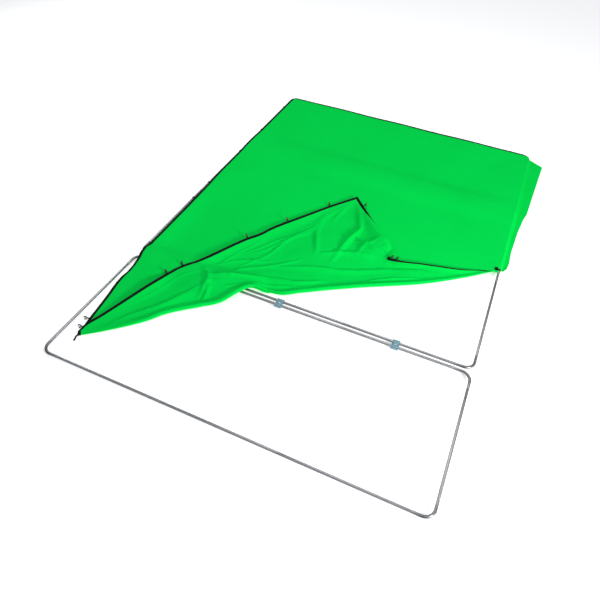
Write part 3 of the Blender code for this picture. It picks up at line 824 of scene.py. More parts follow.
def crease(x, y, points, height, width):
    """A sharp-backed fold along a line through points, which fades out at both ends."""
    line = route(points, np.linspace(0, 1, 60))
    direction = np.gradient(line, axis=0)
    direction /= np.linalg.norm(direction, axis=1)[:, None]
    dx = x[..., None] - line[:, 0]
    dy = y[..., None] - line[:, 1]
    nearest = np.argmin(dx * dx + dy * dy, axis=-1)
    pick = tuple(np.indices(nearest.shape)) + (nearest,)
    aside = dx[pick] * -direction[nearest, 1] + dy[pick] * direction[nearest, 0]
    beyond = dx[pick] * direction[nearest, 0] + dy[pick] * direction[nearest, 1]
    share = nearest / (len(line) - 1)
    along = np.sin(math.pi * np.clip(0.06 + 0.88 * share, 0, 1)) ** 0.6
    fade = along * np.exp(-(beyond / (1.5 * width)) ** 2)
    steep = np.where(aside > 0, aside / (0.45 * width), aside / width)
    return height * fade * np.exp(-steep**2)


from_fold = np.linalg.norm(top_xy - fold_centre[:, None], axis=-1)
top_lift = layer_gap + (2 * roll_radius[:, None] - layer_gap) * np.exp(-(from_fold / 0.07) ** 2)
inside = np.sin(math.pi * np.clip(b_grid, 0, 1)) ** 0.5 * ease(a_grid, 0.0, 0.25)
pile = (swell(top_x, top_y, (1.64, 1.93), (0.15, 0.10), 60, 0.034)
        + swell(top_x, top_y, (1.28, 1.80), (0.35, 0.20), 75, 0.014)
        + swell(top_x, top_y, (1.22, 2.36), (0.20, 0.07), 60, 0.020)
        + swell(top_x, top_y, (2.00, 1.78), (0.32, 0.07), 32, 0.016)
        + swell(top_x, top_y, (0.66, 1.00), (0.30, 0.10), 48, 0.020)
        + swell(top_x, top_y, (1.05, 1.30), (0.22, 0.09), 12, 0.014))
# Each crease is the line along its back, its height and its width.
creases = (
    (((1.30, 2.50), (1.44, 2.20), (1.466, 2.108), (1.394, 1.697)), 0.024, 0.026),
    (((1.28, 2.46), (1.251, 2.353), (1.238, 2.150)), 0.018, 0.018),
    (((1.25, 2.42), (1.145, 1.990), (1.190, 1.830), (1.24, 1.699)), 0.017, 0.017),
    (((1.20, 2.35), (1.100, 2.060), (0.990, 1.860)), 0.013, 0.015),
    (((1.16, 2.26), (1.106, 1.955), (1.010, 1.780), (0.896, 1.499), (0.786, 1.290)), 0.015, 0.015),
    (((0.83, 1.76), (0.785, 1.649), (0.625, 1.234)), 0.013, 0.015),
    (((0.600, 1.060), (0.904, 1.212), (1.196, 1.297), (1.420, 1.430)), 0.021, 0.022),
    (((1.500, 1.960), (1.611, 1.940), (1.700, 1.930)), 0.024, 0.021),
    (((1.300, 1.720), (1.480, 1.800), (1.640, 1.850)), 0.018, 0.026),
    (((0.667, 1.030), (0.700, 0.930), (0.722, 0.820)), 0.018, 0.015),
    (((0.200, 0.330), (0.450, 0.680), (0.640, 0.960)), 0.018, 0.034),
    (((0.260, 0.600), (0.380, 0.860), (0.560, 1.120)), 0.009, 0.019),
    (((1.250, 1.260), (1.650, 1.520), (2.200, 1.860)), 0.015, 0.026),
    (((1.020, 1.420), (1.300, 1.520), (1.700, 1.700), (2.100, 1.880)), 0.015, 0.030),
    (((0.550, 1.120), (0.630, 1.060), (0.660, 0.990), (0.670, 0.900)), 0.020, 0.018),
    (((1.170, 2.180), (1.030, 1.860), (0.820, 1.570), (0.630, 1.260)), 0.014, 0.014),
    (((1.120, 2.020), (0.940, 1.670), (0.750, 1.410)), 0.012, 0.012),
    (((1.110, 1.980), (1.190, 1.840), (1.240, 1.730)), 0.018, 0.014),
    (((1.470, 2.110), (1.440, 1.950), (1.400, 1.810)), 0.022, 0.016),
    (((1.640, 2.020), (1.580, 1.930), (1.560, 1.830)), 0.020, 0.015),
    (((0.790, 1.030), (0.950, 1.120), (1.220, 1.260), (1.420, 1.360)), 0.014, 0.018),
    (((0.600, 1.210), (0.750, 1.350), (0.950, 1.460)), 0.012, 0.014),
    (((0.780, 1.130), (0.780, 1.220), (0.930, 1.370), (1.160, 1.560)), 0.012, 0.016))
# The backs wander a little from their lines, so that no crease runs straight or quite like its neighbour.
stray_x = 0.010 * np.sin(8 * top_x + 11 * top_y) + 0.0015 * np.sin(37 * top_x - 23 * top_y)
stray_y = 0.010 * np.sin(12 * top_x - 7 * top_y) + 0.0015 * np.sin(29 * top_x + 41 * top_y)
folds = sum(crease(top_x + stray_x, top_y + stray_y, *line) for line in creases)
hump = crease(top_x, top_y, hump_line, 0.066, 0.085)
under = resting_height(top_x, top_y)
top_z = under + top_lift + inside * (pile + folds) + hump
from_front = np.linalg.norm(top_xy - edge_line[:, None, :2], axis=-1)
side_row = np.stack([np.interp(b_grid, side_shares, loose_side[:, k]) for k in range(3)], axis=-1)
from_side = np.linalg.norm(top_xy - side_row[..., :2], axis=-1)
side_fade = 0.060 - 0.040 * ease(b_grid, 0.40, 0.50)
by_front, by_side = np.exp(-(from_front / 0.06) ** 2), np.exp(-(from_side / side_fade) ** 2)
top_z += by_front * (np.maximum(edge_line[:, None, 2], under + layer_gap) - top_z)
top_z += by_side * (np.maximum(side_row[..., 2], under + layer_gap) - top_z)
top = np.stack([top_x, top_y, np.minimum(top_z, pile_top)], axis=-1)


def relaxed(points, spare, floor_height, rounds, settling):
    """Let the loose layer settle: each span keeps its length with a little spare, and the edges stay put."""
    rest = []
    reaches = ((1, 0), (0, 1), (1, 1), (1, -1), (2, 0), (0, 2))
    moved = points.copy()
    for di, dj in reaches:
        one, two = spans(points, di, dj)
        rest.append(np.linalg.norm(one - two, axis=-1) * (1 + spare[:one.shape[0], :one.shape[1]]))
    held = np.zeros(points.shape[:2], bool)
    held[:, :2] = held[:, -4:] = held[-1:, :] = held[:3, :] = True
    free = (~held)[..., None].astype(float)
    for _ in range(rounds):
        moved[..., 2] -= settling * free[..., 0]
        for (di, dj), length in zip(reaches, rest):
            stiffness = 0.9 if di + abs(dj) == 1 else (0.5 if abs(di) == 1 else 0.12)
            push = np.zeros_like(moved)
            count = np.zeros(moved.shape[:2] + (1,))
            one, two = spans(moved, di, dj)
            apart = two - one
            size = np.linalg.norm(apart, axis=-1)
            neighbours = abs(di) < 2 and abs(dj) < 2
            wanted = length if neighbours else np.maximum(length, size)
            change = (0.5 * stiffness * (size - wanted) / np.maximum(size, 1e-9))[..., None] * apart
            push_one, push_two = spans(push, di, dj)
            count_one, count_two = spans(count, di, dj)
            push_one += change
            count_one += 1
            push_two -= change
            count_two += 1
            moved += free * push / np.maximum(count, 1)
        moved[..., 2] = np.clip(moved[..., 2], floor_height(moved[..., 0], moved[..., 1]), pile_top)
        moved[held] = points[held]
    return moved


def spans(array, di, dj):
    """The two ends of every span that reaches di columns and dj rows."""
    rows = array.shape[1]
    if dj >= 0:
        return array[:array.shape[0] - di, :rows - dj], array[di:, dj:]
    return array[:array.shape[0] - di, -dj:], array[di:, :rows + dj]


# The loose layer gets a faint ripple and settles.
settling_rounds = 60
settling_step = 0.00003
ripple = np.random.default_rng(7)
wave_count = 9
waves = sum(np.sin(ripple.uniform(8, 42) * (top_x * math.cos(t) + top_y * math.sin(t))
                   + ripple.uniform(0, 6.28))
            for t in ripple.uniform(1.9, 2.9, wave_count)) / wave_count
top[..., 2] += inside * 0.004 * waves
spare = 0.006 + 0.010 * ease(a_grid, 0.3, 0.8)
top = relaxed(top, spare, lambda x, y: resting_height(x, y) + layer_gap, settling_rounds, settling_step)

# The lower layer, from the fold back to the clipped edge, and the roll that joins the two.
hem_side = route(left_hem, side_shares)
hem_side += (1 - ease(side_shares, 0.0, 0.03))[:, None] * (fold_centre[0] - np.array(left_hem[0]))
foot_side = route(foot_line, side_shares)
foot_side += (1 - ease(side_shares, 0.0, 0.10))[:, None] * (fold_centre[-1] - np.array(foot_line[0]))
base_xy, base_up = patch(fold_centre, route(back_hem, across), hem_side, foot_side, across, base_rows)
base_z = resting_height(base_xy[..., 0], base_xy[..., 1])
slack_waves = 0.0022 * np.sin(9 * base_xy[..., 0] + 2.2 * base_xy[..., 1]) * np.sin(5 * base_xy[..., 1] + 1.0)
clear_of_sides = ease(1 - np.abs(2 * across - 1), 0.05, 0.3)[:, None]
base_z += (slack_waves + 0.0022) * ease(base_up, 0.1, 0.3) * clear_of_sides
base = np.concatenate([base_xy, base_z[..., None]], axis=-1)
roll_steps = 9
roll = []
for k in range(1, roll_steps):
    angle = math.pi * k / roll_steps
    share = (1 - math.cos(angle)) / 2
    low, high = base[:, 0], top[:, 0]
    ring = np.empty((columns, 3))
    ring[:, :2] = (low + share * (high - low))[:, :2] + fold_out * (roll_radius * math.sin(angle))[:, None]
    ring[:, 2] = low[:, 2] + share * (high[:, 2] - low[:, 2])
    roll.append(ring)
sheet_points = np.concatenate([top[:, ::-1], np.stack(roll[::-1], axis=1), base], axis=1)
rows = sheet_points.shape[1]
base_start = rows - base.shape[1]

# The flap trails over the foot tube onto the ground; towards the folded corner it is tucked under.
flap_reach = np.interp(base[-1, :, 1], (2.13, 2.165, 2.20, 2.29, 2.43, 2.72, 2.93, 3.02, 3.87, 3.99),
                       (0.004, 0.034, 0.054, 0.064, 0.058, 0.070, 0.090, 0.108, 0.146, 0.146))
turned_down = np.minimum(1, flap_reach / 0.03)
to_tube = (foot_x - base[-1, :, 0]) * (base[-1, :, 1] < 2.5)
drape = ((0.0015, 0.0111), (0.0060, 0.0098), (0.0112, 0.0048), (0.0140, -0.0040), (0.0190, -0.0135),
         (0.0300, ground + 0.001))
flap = []
for x, z in drape:
    column = base[-1].copy()
    column[:, 0] += turned_down * (to_tube + x)
    column[:, 2] += (z - on_tube) * ease(turned_down, 0.6, 1.0)
    flap.append(column)
flap_steps = 10
for k in range(1, flap_steps + 1):
    share = k / flap_steps
    column = base[-1].copy()
    hung = turned_down * (to_tube + 0.03)
    column[:, 0] += hung + share * np.maximum(foot_x + flap_reach - column[:, 0] - hung, 0)
    column[:, 1] -= 0.10 * share * ease(base_up[-1], 0.90, 1.0)
    lying = 0.0035 * share * (1 + np.sin(11 * column[:, 1]) * np.sin(4.3 * column[:, 1] + 1.0))
    column[:, 2] = np.where(flap_reach > 0.03, ground + 0.001 + lying, flap[-1][:, 2])
    flap.append(column)
flap = np.stack(flap)

points = [sheet_points.reshape(-1, 3), flap.reshape(-1, 3)]
flap_first = columns * rows


def sheet_index(i, j):
    """The vertex in column i and row j; columns past the last are the flap's, on the lower layer only."""
    if i < columns:
        return i * rows + j
    return flap_first + (i - columns) * base.shape[1] + j - base_start


quads = [(sheet_index(i, j), sheet_index(i + 1, j), sheet_index(i + 1, j + 1), sheet_index(i, j + 1))
         for i in range(columns - 1) for j in range(rows - 1)]
quads += [(sheet_index(i, j), sheet_index(i + 1, j), sheet_index(i + 1, j + 1), sheet_index(i, j + 1))
          for i in range(columns - 1, columns - 1 + len(flap)) for j in range(base_start, rows - 1)]
sheet_mesh = bpy.data.meshes.new("green_cover")
sheet_mesh.from_pydata((np.concatenate(points) + origin).tolist(), [], quads)
steps = np.linalg.norm(np.diff(sheet_points, axis=1), axis=-1)
run = np.concatenate([np.zeros((columns, 1)), np.cumsum(steps, axis=1)], axis=1)
flap_u = cloth_width - flap_width + np.linspace(0.006, flap_width, len(flap))
cloth_uv = np.concatenate([
    np.stack([np.repeat(across * foot_x, rows), run.ravel()], axis=-1),
    np.stack([np.repeat(flap_u, base.shape[1]), np.tile(run[-1, base_start:], len(flap))], axis=-1)])
loop_vertex = np.zeros(len(sheet_mesh.loops), int)
sheet_mesh.loops.foreach_get("vertex_index", loop_vertex)
sheet_mesh.uv_layers.new(name="metres").data.foreach_set("uv", cloth_uv[loop_vertex].ravel())


def sheet_normals(grid):
    """Unit normals of a grid of points, up on the lower layer and down on the folded one."""
    normal = np.cross(np.gradient(grid, axis=1), np.gradient(grid, axis=0))
    return normal / np.maximum(np.linalg.norm(normal, axis=-1), 1e-12)[..., None]


green, green_shader = new_material("backdrop_green", (0.0, 0.66, 0.060), 0.8)
green_shader.inputs["Sheen Weight"].default_value = 0.02
green_shader.inputs["Sheen Roughness"].default_value = 0.6
green_shader.inputs["Sheen Tint"].default_value = (0.1, 1.0, 0.3, 1.0)
green_shader.inputs["Specular IOR Level"].default_value = 0.02

# Woven and knitted goods: crossing threads at a given pitch, as a height and a mask of the gaps.
weave_group, weave_in, weave_out = shader_group(
    "weave", (("Vector", "NodeSocketVector", None), ("Across", "NodeSocketFloat", 1000.0),
              ("Along", "NodeSocketFloat", 1000.0)),
    (("Height", "NodeSocketFloat"), ("Gaps", "NodeSocketFloat")))
weave_split = weave_group.nodes.new("ShaderNodeSeparateXYZ")
weave_group.links.new(weave_in.outputs["Vector"], weave_split.inputs[0])
warp = math_node(weave_group, "MULTIPLY", weave_split.outputs[0], weave_in.outputs["Across"])
weft = math_node(weave_group, "MULTIPLY", weave_split.outputs[1], weave_in.outputs["Along"])
warp_wave = math_node(weave_group, "SINE", math_node(weave_group, "MULTIPLY", warp, math.pi))
weft_wave = math_node(weave_group, "SINE", math_node(weave_group, "MULTIPLY", weft, math.pi))
crossed = math_node(weave_group, "MULTIPLY", warp_wave, weft_wave)
thread_height = math_node(weave_group, "MULTIPLY_ADD", crossed, 0.5, 0.5)
weave_group.links.new(thread_height, weave_out.inputs["Height"])
gap = math_node(weave_group, "SUBTRACT", 1.0, math_node(weave_group, "ABSOLUTE", crossed))
weave_group.links.new(math_node(weave_group, "POWER", gap, 6.0), weave_out.inputs["Gaps"])


def weave(tree, vector, across_scale, along_scale):
    """Place the weave group in a material; returns its height and its gaps."""
    node = tree.nodes.new("ShaderNodeGroup")
    node.node_tree = weave_group
    tree.links.new(vector, node.inputs["Vector"])
    node.inputs["Across"].default_value = across_scale
    node.inputs["Along"].default_value = along_scale
    return node.outputs["Height"], node.outputs["Gaps"]


tree = green.node_tree
chart = chart_vector(tree, "metres")
dye = grain(tree, object_vector(tree), 1.6, contrast=1.3)
slub = grain(tree, chart, 420.0, (1.0, 0.12, 1.0), 1.5)
thread, thread_gap_shade = weave(tree, chart, 900.0, 900.0)
dyed = mixed_colour(tree, dye, (0.0, 0.66, 0.066), (0.0, 0.74, 0.084))
slubbed = mixed_colour(tree, math_node(tree, "MULTIPLY", slub, 0.22), dyed, (0.0, 0.53, 0.050))
# The gaps between the threads are mixed towards a dark green: painted shade in the weave's hollows.
tree.links.new(mixed_colour(tree, math_node(tree, "MULTIPLY", thread_gap_shade, 0.18), slubbed, (0.0, 0.30, 0.03)),
               green_shader.inputs["Base Color"])
tree.links.new(math_node(tree, "MULTIPLY_ADD", slub, 0.12, 0.74), green_shader.inputs["Roughness"])
bump(tree, green_shader, thread, 0.00012, 0.6)

cover = link_piece("green_cover", sheet_mesh, green)
cover.data.set_sharp_from_angle(angle=math.pi)
thicken = cover.modifiers.new("cloth", "SOLIDIFY")
thicken.thickness = cloth_thick
thicken.offset = 0.0
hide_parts("cover_centre", "cover_right_wing")
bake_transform(cover)

# ---- webbing hems ---------------------------------------------------------------------------
# Black webbing, 24 mm wide, is folded over every clipped edge of the cover and sewn through.
webbing, webbing_shader = new_material("black_webbing", (0.003, 0.005, 0.006), 0.8)
webbing_shader.inputs["Specular IOR Level"].default_value = 0.1
tree = webbing.node_tree
chart = chart_vector(tree, "metres")
rib, rib_gaps = weave(tree, chart, 500.0, 260.0)
lint = grain(tree, object_vector(tree), 120.0, contrast=2.6)
faint_lint = math_node(tree, "MULTIPLY", lint, 0.5)
worn_web = mixed_colour(tree, faint_lint, (0.002, 0.004, 0.0045), (0.011, 0.016, 0.018))
tree.links.new(worn_web, webbing_shader.inputs["Base Color"])
tree.links.new(math_node(tree, "MULTIPLY_ADD", rib, 0.15, 0.62), webbing_shader.inputs["Roughness"])
bump(tree, webbing_shader, rib, 0.0004)
webbing_lift = cloth_thick / 2 + 0.0006


def hem_mesh(name, grid, normals):
    """Webbing folded over an edge: grid runs along the edge, from the fabric's inside out to its rim."""
    over = grid + normals * webbing_lift
    under = grid - normals * webbing_lift
    outward = grid[:, -1] - grid[:, -2]
    outward /= np.maximum(np.linalg.norm(outward, axis=-1), 1e-9)[:, None]
    rim = grid[:, -1:] + outward[:, None] * 0.0009
    rings = np.concatenate([over, rim, under[:, ::-1]], axis=1) + origin
    stations = np.concatenate([[0.0], np.cumsum(np.linalg.norm(np.diff(grid[:, 0], axis=0), axis=1))])
    return lofted_mesh(name, rings, stations, caps=True)


cover_normals = sheet_normals(sheet_points)
tip_rows = list(range(0, top_rows, 12)) + list(range(top_rows, rows))
clump_row = int(np.argmax(top[-1, :, 0] < 1.798))
corner_row = int(np.argmax(top[-1, :, 0] < 1.690))


def edge_strip(columns_kept, rows_kept, across_columns):
    """The cover's points and normals within a hem's width of an edge, from the inside out to the rim.

    The columns or the rows that run across the hem are given from the rim inwards.
    """
    points, normals = [grid[np.ix_(columns_kept, rows_kept)] for grid in (sheet_points, cover_normals)]
    if across_columns:
        points, normals = points.transpose(1, 0, 2), normals.transpose(1, 0, 2)
    strip = np.concatenate([points, normals], axis=-1)
    spans_in = np.linalg.norm(np.diff(points, axis=1), axis=-1)
    depth = np.concatenate([np.zeros((len(points), 1)), np.cumsum(spans_in, axis=1)], axis=1)
    even = np.array([[np.interp(hem_steps[::-1], depth[k], strip[k, :, c]) for c in range(6)]
                     for k in range(len(strip))]).transpose(0, 2, 1)
    return even[..., :3], even[..., 3:]


# Enough columns or rows of the cover, counted in from a rim, to pass a hem's width everywhere.
reach_in = 14
all_columns = list(range(columns))
from_foot = range(columns - 1, columns - 1 - reach_in, -1)
hems = {"left_hem": edge_strip(range(reach_in), tip_rows, True),
        "back_hem": edge_strip(all_columns, range(rows - 1, rows - 1 - reach_in, -1), False),
        "front_hem": edge_strip(all_columns, range(reach_in), False),
        "corner_hem": edge_strip(from_foot, range(top_rows - 1 - clump_row, top_rows), True),
        "tip_hem": edge_strip(from_foot, range(top_rows - corner_row), True)}
for name, (grid, normals) in hems.items():
    piece = link_piece(name, hem_mesh(name, grid, normals), webbing)
    if name == "left_hem":
        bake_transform(piece)
    else:
        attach(piece, "right_wing" if name == "back_hem" else "centre_frame")

# At the folded corner a doubled square of webbing backs the cover's own clip, and a tab to pull it by hangs
# from the far corner.
foot_clip_y = 2.142
patch_inset = 0.036
patch_half = 0.018
patch_grid = np.array([[(foot_x - patch_inset + u, foot_clip_y + v, on_tube + 0.0030)
                        for u in (0.0, 0.012, 0.024)] for v in (-patch_half, 0.0, patch_half)])
tab_start = sheet_points[0, top_rows]
tab_hang = ((0.004, 0.012, 0.003), (0.000, -0.012, 0.000), (0.003, -0.026, -0.006), (0.006, -0.044, -0.012))
tab_path = route([tab_start + step for step in tab_hang], np.linspace(0, 1, 12))
tab_path[:, 2] = np.maximum(tab_path[:, 2], ground + 0.001)
tab_grid = np.stack([tab_path + (u, 0, 0) for u in (-0.006, -0.002, 0.002, 0.006)], axis=1)
for name, grid in (("corner_patch", patch_grid), ("pull_tab", tab_grid)):
    upward = np.tile(np.array([0.0, 0.0, 1.0]), grid.shape[:2] + (1,))
    piece = link_piece(name, hem_mesh(name, grid, upward), webbing)
    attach(piece, "centre_frame")

# ---- hem stitching --------------------------------------------------------------------------
# A lockstitch in black thread runs along every webbing, 1.6 mm in from its inner edge.  Each stitch
# stands a little proud of the ribs and sinks at both ends, where it passes through.
seam_inset = 0.0016
stitch_pitch = 0.008
stitch_length = 0.0056
thread_width = 0.0011


def growing_tree(name, inputs):
    """An empty Geometry Nodes tree with named inputs, and its input and output nodes."""
    tree = bpy.data.node_groups.new(name, "GeometryNodeTree")
    tree.interface.new_socket("Geometry", in_out="INPUT", socket_type="NodeSocketGeometry")
    for label, kind, value in inputs:
        socket = tree.interface.new_socket(label, in_out="INPUT", socket_type=kind)
        if value is not None:
            socket.default_value = value
    tree.interface.new_socket("Geometry", in_out="OUTPUT", socket_type="NodeSocketGeometry")
    return tree, tree.nodes.new("NodeGroupInput"), tree.nodes.new("NodeGroupOutput")


def finish_tree(tree, instances, entry, exit_node):
    """Realize the instances, give them the tree's material and send them out."""
    solid = tree.nodes.new("GeometryNodeRealizeInstances")
    painted = tree.nodes.new("GeometryNodeSetMaterial")
    tree.links.new(instances, solid.inputs[0])
    tree.links.new(solid.outputs[0], painted.inputs["Geometry"])
    tree.links.new(entry.outputs["Material"], painted.inputs["Material"])
    tree.links.new(painted.outputs[0], exit_node.inputs[0])


def grown_mesh(name, tree, guide, values):
    """The plain mesh that a tree makes from a guide mesh."""
    carrier = bpy.data.objects.new(name, guide)
    bpy.context.scene.collection.objects.link(carrier)
    modifier = carrier.modifiers.new("grown", "NODES")
    modifier.node_group = tree
    for item in tree.interface.items_tree:
        if item.item_type == "SOCKET" and item.in_out == "INPUT" and item.name in values:
            modifier[item.identifier] = values[item.name]
    graph = bpy.context.evaluated_depsgraph_get()
    mesh = bpy.data.meshes.new_from_object(carrier.evaluated_get(graph))
    bpy.data.objects.remove(carrier)
    return mesh


stitch_tree, stitch_in, stitch_out = growing_tree("stitches", (
    ("Pitch", "NodeSocketFloat", 0.008), ("Stitch Length", "NodeSocketFloat", 0.005),
    ("Thread", "NodeSocketFloat", 0.001), ("Material", "NodeSocketMaterial", None)))
seam_curve = stitch_tree.nodes.new("GeometryNodeMeshToCurve")
seam_points = stitch_tree.nodes.new("GeometryNodeResampleCurve")
seam_points.mode = "LENGTH"
stitch_ball = stitch_tree.nodes.new("GeometryNodeMeshUVSphere")
stitch_ball.inputs["Segments"].default_value = 6
stitch_ball.inputs["Rings"].default_value = 4
stitch_ball.inputs["Radius"].default_value = 0.5
stitch_size = stitch_tree.nodes.new("ShaderNodeCombineXYZ")
stitch_shape = stitch_tree.nodes.new("GeometryNodeTransform")
seam_tangent = stitch_tree.nodes.new("GeometryNodeInputTangent")
stitch_turn = stitch_tree.nodes.new("FunctionNodeAlignRotationToVector")
stitch_turn.axis = "X"
stitch_copies = stitch_tree.nodes.new("GeometryNodeInstanceOnPoints")
for start, end in ((stitch_in.outputs["Geometry"], seam_curve.inputs["Mesh"]),
                   (seam_curve.outputs[0], seam_points.inputs["Curve"]),
                   (stitch_in.outputs["Pitch"], seam_points.inputs["Length"]),
                   (stitch_in.outputs["Stitch Length"], stitch_size.inputs["X"]),
                   (stitch_in.outputs["Thread"], stitch_size.inputs["Y"]),
                   (stitch_in.outputs["Thread"], stitch_size.inputs["Z"]),
                   (stitch_ball.outputs["Mesh"], stitch_shape.inputs["Geometry"]),
                   (stitch_size.outputs[0], stitch_shape.inputs["Scale"]),
                   (seam_tangent.outputs[0], stitch_turn.inputs["Vector"]),
                   (seam_points.outputs[0], stitch_copies.inputs["Points"]),
                   (stitch_shape.outputs[0], stitch_copies.inputs["Instance"]),
                   (stitch_turn.outputs[0], stitch_copies.inputs["Rotation"])):
    stitch_tree.links.new(start, end)
finish_tree(stitch_tree, stitch_copies.outputs[0], stitch_in, stitch_out)

thread_black, thread_shader = new_material("hem_thread", (0.02, 0.021, 0.024), 0.5)
tree = thread_black.node_tree
twist = grain(tree, object_vector(tree), 1500.0, contrast=2.0)
tree.links.new(mixed_colour(tree, twist, (0.012, 0.012, 0.014), (0.055, 0.056, 0.060)),
               thread_shader.inputs["Base Color"])
tree.links.new(math_node(tree, "MULTIPLY_ADD", twist, 0.2, 0.42), thread_shader.inputs["Roughness"])
bump(tree, thread_shader, twist, 0.0001)

for name, (grid, normals) in hems.items():
    face = -1 if name in ("front_hem", "corner_hem", "tip_hem") else 1
    share = seam_inset / (hem_steps[1] - hem_steps[0])
    proud = face * normals[:, 0] * (webbing_lift + 0.25 * thread_width)
    seam = (1 - share) * grid[:, 0] + share * grid[:, 1] + proud + origin
    guide = bpy.data.meshes.new(name + "_seam")
    guide.from_pydata(seam.tolist(), [(k, k + 1) for k in range(len(seam) - 1)], [])
    mesh = grown_mesh(name, stitch_tree, guide, {"Pitch": stitch_pitch, "Stitch Length": stitch_length,
                                                 "Thread": thread_width, "Material": thread_black})
    piece = link_piece(name + "_stitches", mesh, thread_black)
    if name == "left_hem":
        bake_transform(piece)
    else:
        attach(piece, "right_wing" if name == "back_hem" else "centre_frame")

# ---- cover clips ----------------------------------------------------------------------------
# Black plastic C-clips snap round the tubes and hold the cover by short elastic straps sewn to the hem.
# Those of the loose edges lie beside them on the fabric.
clip_inner = 0.0104
clip_outer = 0.0128
clip_half = 0.006
strap_half = 0.005
strap_thick = 0.0009
loose_reach = 0.0225
loose_rise = 0.0065

clip_plastic, clip_shader = new_material("clip_plastic", (0.012, 0.012, 0.014), 0.4)
tree = clip_plastic.node_tree
moulded = grain(tree, object_vector(tree), 240.0, contrast=2.0)
tree.links.new(mixed_colour(tree, moulded, (0.006, 0.006, 0.007), (0.030, 0.031, 0.034)),
               clip_shader.inputs["Base Color"])
tree.links.new(math_node(tree, "MULTIPLY_ADD", moulded, 0.22, 0.30), clip_shader.inputs["Roughness"])
bump(tree, clip_shader, grain(tree, object_vector(tree), 1900.0), 0.00006)


def swept_mesh(name, section, places):
    """A section of (out, aside) points carried along places: a centre, an outward and a sideways direction."""
    rings = [[np.array(centre) + u * np.array(out) + v * np.array(aside) for u, v in section]
             for centre, out, aside in places]
    run = np.concatenate([[0.0], np.cumsum([math.dist(a[0], b[0]) for a, b in zip(places, places[1:])])])
    return lofted_mesh(name, rings, run, caps=True)


def ring_mesh(name, loose):
    """A C-clip about X: round a tube and open inwards and up, or loose beyond the hem and open outwards."""
    bevel = 0.0005
    wall = (clip_outer - clip_inner) / 2
    section = [(wall - bevel, -clip_half), (wall, -clip_half + bevel), (wall, clip_half - bevel),
               (wall - bevel, clip_half), (-wall + bevel, clip_half), (-wall, clip_half - bevel),
               (-wall, -clip_half + bevel), (-wall + bevel, -clip_half)]
    middle = (clip_inner + clip_outer) / 2
    out, rise = (loose_reach, loose_rise) if loose else (0.0, 0.0)
    places = []
    for angle in np.radians(np.linspace(-130, 140, 23) if loose else np.linspace(104, 374, 23)):
        c, s = math.cos(angle), math.sin(angle)
        places.append(((0.0, middle * c - out, middle * s + rise), (0, c, s), (1, 0, 0)))
    return swept_mesh(name, section, places)


def strap_mesh(name, path):
    """A flat elastic strap along Y, through (y, z) points."""
    line = route(path, np.linspace(0, 1, 14))
    slope = np.gradient(line, axis=0)
    slope /= np.linalg.norm(slope, axis=1)[:, None]
    edge = strap_half - strap_thick / 2
    section = [(strap_thick / 2, -edge), (strap_thick / 2, edge), (0, strap_half), (-strap_thick / 2, edge),
               (-strap_thick / 2, -edge), (0, -strap_half)]
    places = [((0.0, y, z), (0, -dz, dy), (1, 0, 0)) for (y, z), (dy, dz) in zip(line, slope)]
    return swept_mesh(name, section, places)


held_strap = ((-0.0090, 0.0100), (-0.0050, 0.0128), (-0.0005, 0.0142), (0.0060, 0.0141), (0.0150, 0.0137),
              (0.0215, 0.0133))
loose_strap = ((-0.0094, 0.0075), (-0.0088, 0.0030), (-0.0060, -0.0002), (0.0000, -0.0016), (0.0080, -0.0020),
               (0.0200, -0.0022))
clip_patterns = {"held": (ring_mesh("held_ring", False), strap_mesh("held_strap", held_strap)),
                 "loose": (ring_mesh("loose_ring", True), strap_mesh("loose_strap", loose_strap))}

scatter_tree, scatter_in, scatter_out = growing_tree("copies_at_points", (
    ("Pattern", "NodeSocketObject", None), ("Material", "NodeSocketMaterial", None)))
pattern_node = scatter_tree.nodes.new("GeometryNodeObjectInfo")
pattern_node.transform_space = "ORIGINAL"
turn_attribute = scatter_tree.nodes.new("GeometryNodeInputNamedAttribute")
turn_attribute.data_type = "FLOAT_VECTOR"
turn_attribute.inputs["Name"].default_value = "turn"
turn_rotation = scatter_tree.nodes.new("FunctionNodeEulerToRotation")
copies = scatter_tree.nodes.new("GeometryNodeInstanceOnPoints")
for start, end in ((scatter_in.outputs["Geometry"], copies.inputs["Points"]),
                   (scatter_in.outputs["Pattern"], pattern_node.inputs["Object"]),
                   (pattern_node.outputs["Geometry"], copies.inputs["Instance"]),
                   (turn_attribute.outputs["Attribute"], turn_rotation.inputs[0]),
                   (turn_rotation.outputs[0], copies.inputs["Rotation"])):
    scatter_tree.links.new(start, end)
finish_tree(scatter_tree, copies.outputs[0], scatter_in, scatter_out)


def copies_mesh(name, pattern, points, turns, material):
    """One mesh of a pattern's copies at points, each turned by its Euler angles."""
    guide = bpy.data.meshes.new(name + "_places")
    guide.from_pydata([tuple(p) for p in points], [], [])
    guide.attributes.new("turn", "FLOAT_VECTOR", "POINT").data.foreach_set("vector", np.ravel(turns))
    model = bpy.data.objects.new(name + "_pattern", pattern)
    bpy.context.scene.collection.objects.link(model)
    mesh = grown_mesh(name, scatter_tree, guide, {"Pattern": model, "Material": material})
    bpy.data.objects.remove(model)
    return mesh


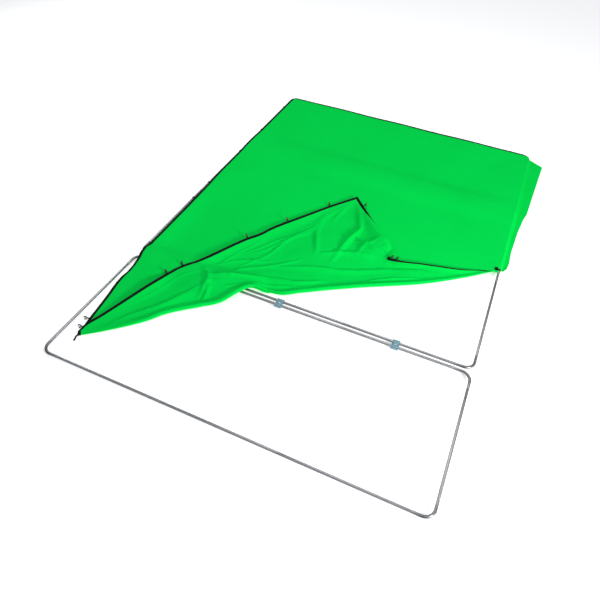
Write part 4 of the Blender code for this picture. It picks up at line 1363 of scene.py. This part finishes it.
def loose_place(rim, inner):
    """Where a loose clip lies beside the hem's rim, and the way it points."""
    outward = (rim - inner)[:2] / np.linalg.norm((rim - inner)[:2])
    place = rim + origin + (0, 0, 0.004)
    place[2] = max(place[2], clip_outer - loose_rise)
    return place, (0.0, 0.0, math.atan2(outward[0], -outward[1]))


def nearest_row(line, place):
    """The index of the point on a line that is nearest to a place."""
    return int(np.argmin(np.linalg.norm(line[:, :2] - np.array(place), axis=1)))


# The loose clips stand along the front hem, round the folded corner and near the tip; the held ones are on the
# top rails, the foot rail and the right wing's outer stile.
front_clips = [nearest_row(top[:, -1], place) for place in ((0.330, 0.950), (0.395, 1.068), (0.680, 1.604),
                                                            (0.865, 1.952), (1.120, 2.300))]
corner_clips = [nearest_row(top[-1], place) for place in ((1.400, 2.420), (1.803, 1.864), (1.850, 1.865))]
hem_clips = [nearest_row(base[0], place) for place in ((0.092, 0.262), (0.076, 0.390))]
loose = [loose_place(top[i, -1], top[i, -3]) for i in front_clips]
loose += [loose_place(top[-1, j], top[-3, j]) for j in corner_clips]
loose += [loose_place(base[0, j], base[2, j]) for j in hem_clips]
held_centre = [((origin[0], origin[1] + y, origin[2]), (0, 0, -math.pi / 2)) for y in (1.87, 2.13, 2.73)]
held_centre.append(((origin[0] + foot_x, origin[1] + foot_clip_y, origin[2]), (0, 0, math.pi / 2)))
held_wing = [((origin[0], origin[1] + y, origin[2]), (0, 0, -math.pi / 2)) for y in (3.20, 3.75)]
held_wing += [((origin[0] + x, origin[1] + back_y, origin[2]), (0, 0, math.pi))
              for x in (0.806, 1.112, 1.627, 1.896, 2.436)]
for name, pattern, places, body in (("loose_clips", "loose", loose, "centre_frame"),
                                    ("centre_clips", "held", held_centre, "centre_frame"),
                                    ("right_wing_clips", "held", held_wing, "right_wing")):
    points, turns = [p for p, t in places], [t for p, t in places]
    for part, source, material, slot in (("rings", 0, clip_plastic, "knob"),
                                         ("straps", 1, webbing, "fabric")):
        mesh = copies_mesh(f"{name}_{part}", clip_patterns[pattern][source], points, turns, material)
        piece = link_piece(f"{name}_{part}", mesh, material)
        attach(piece, body)
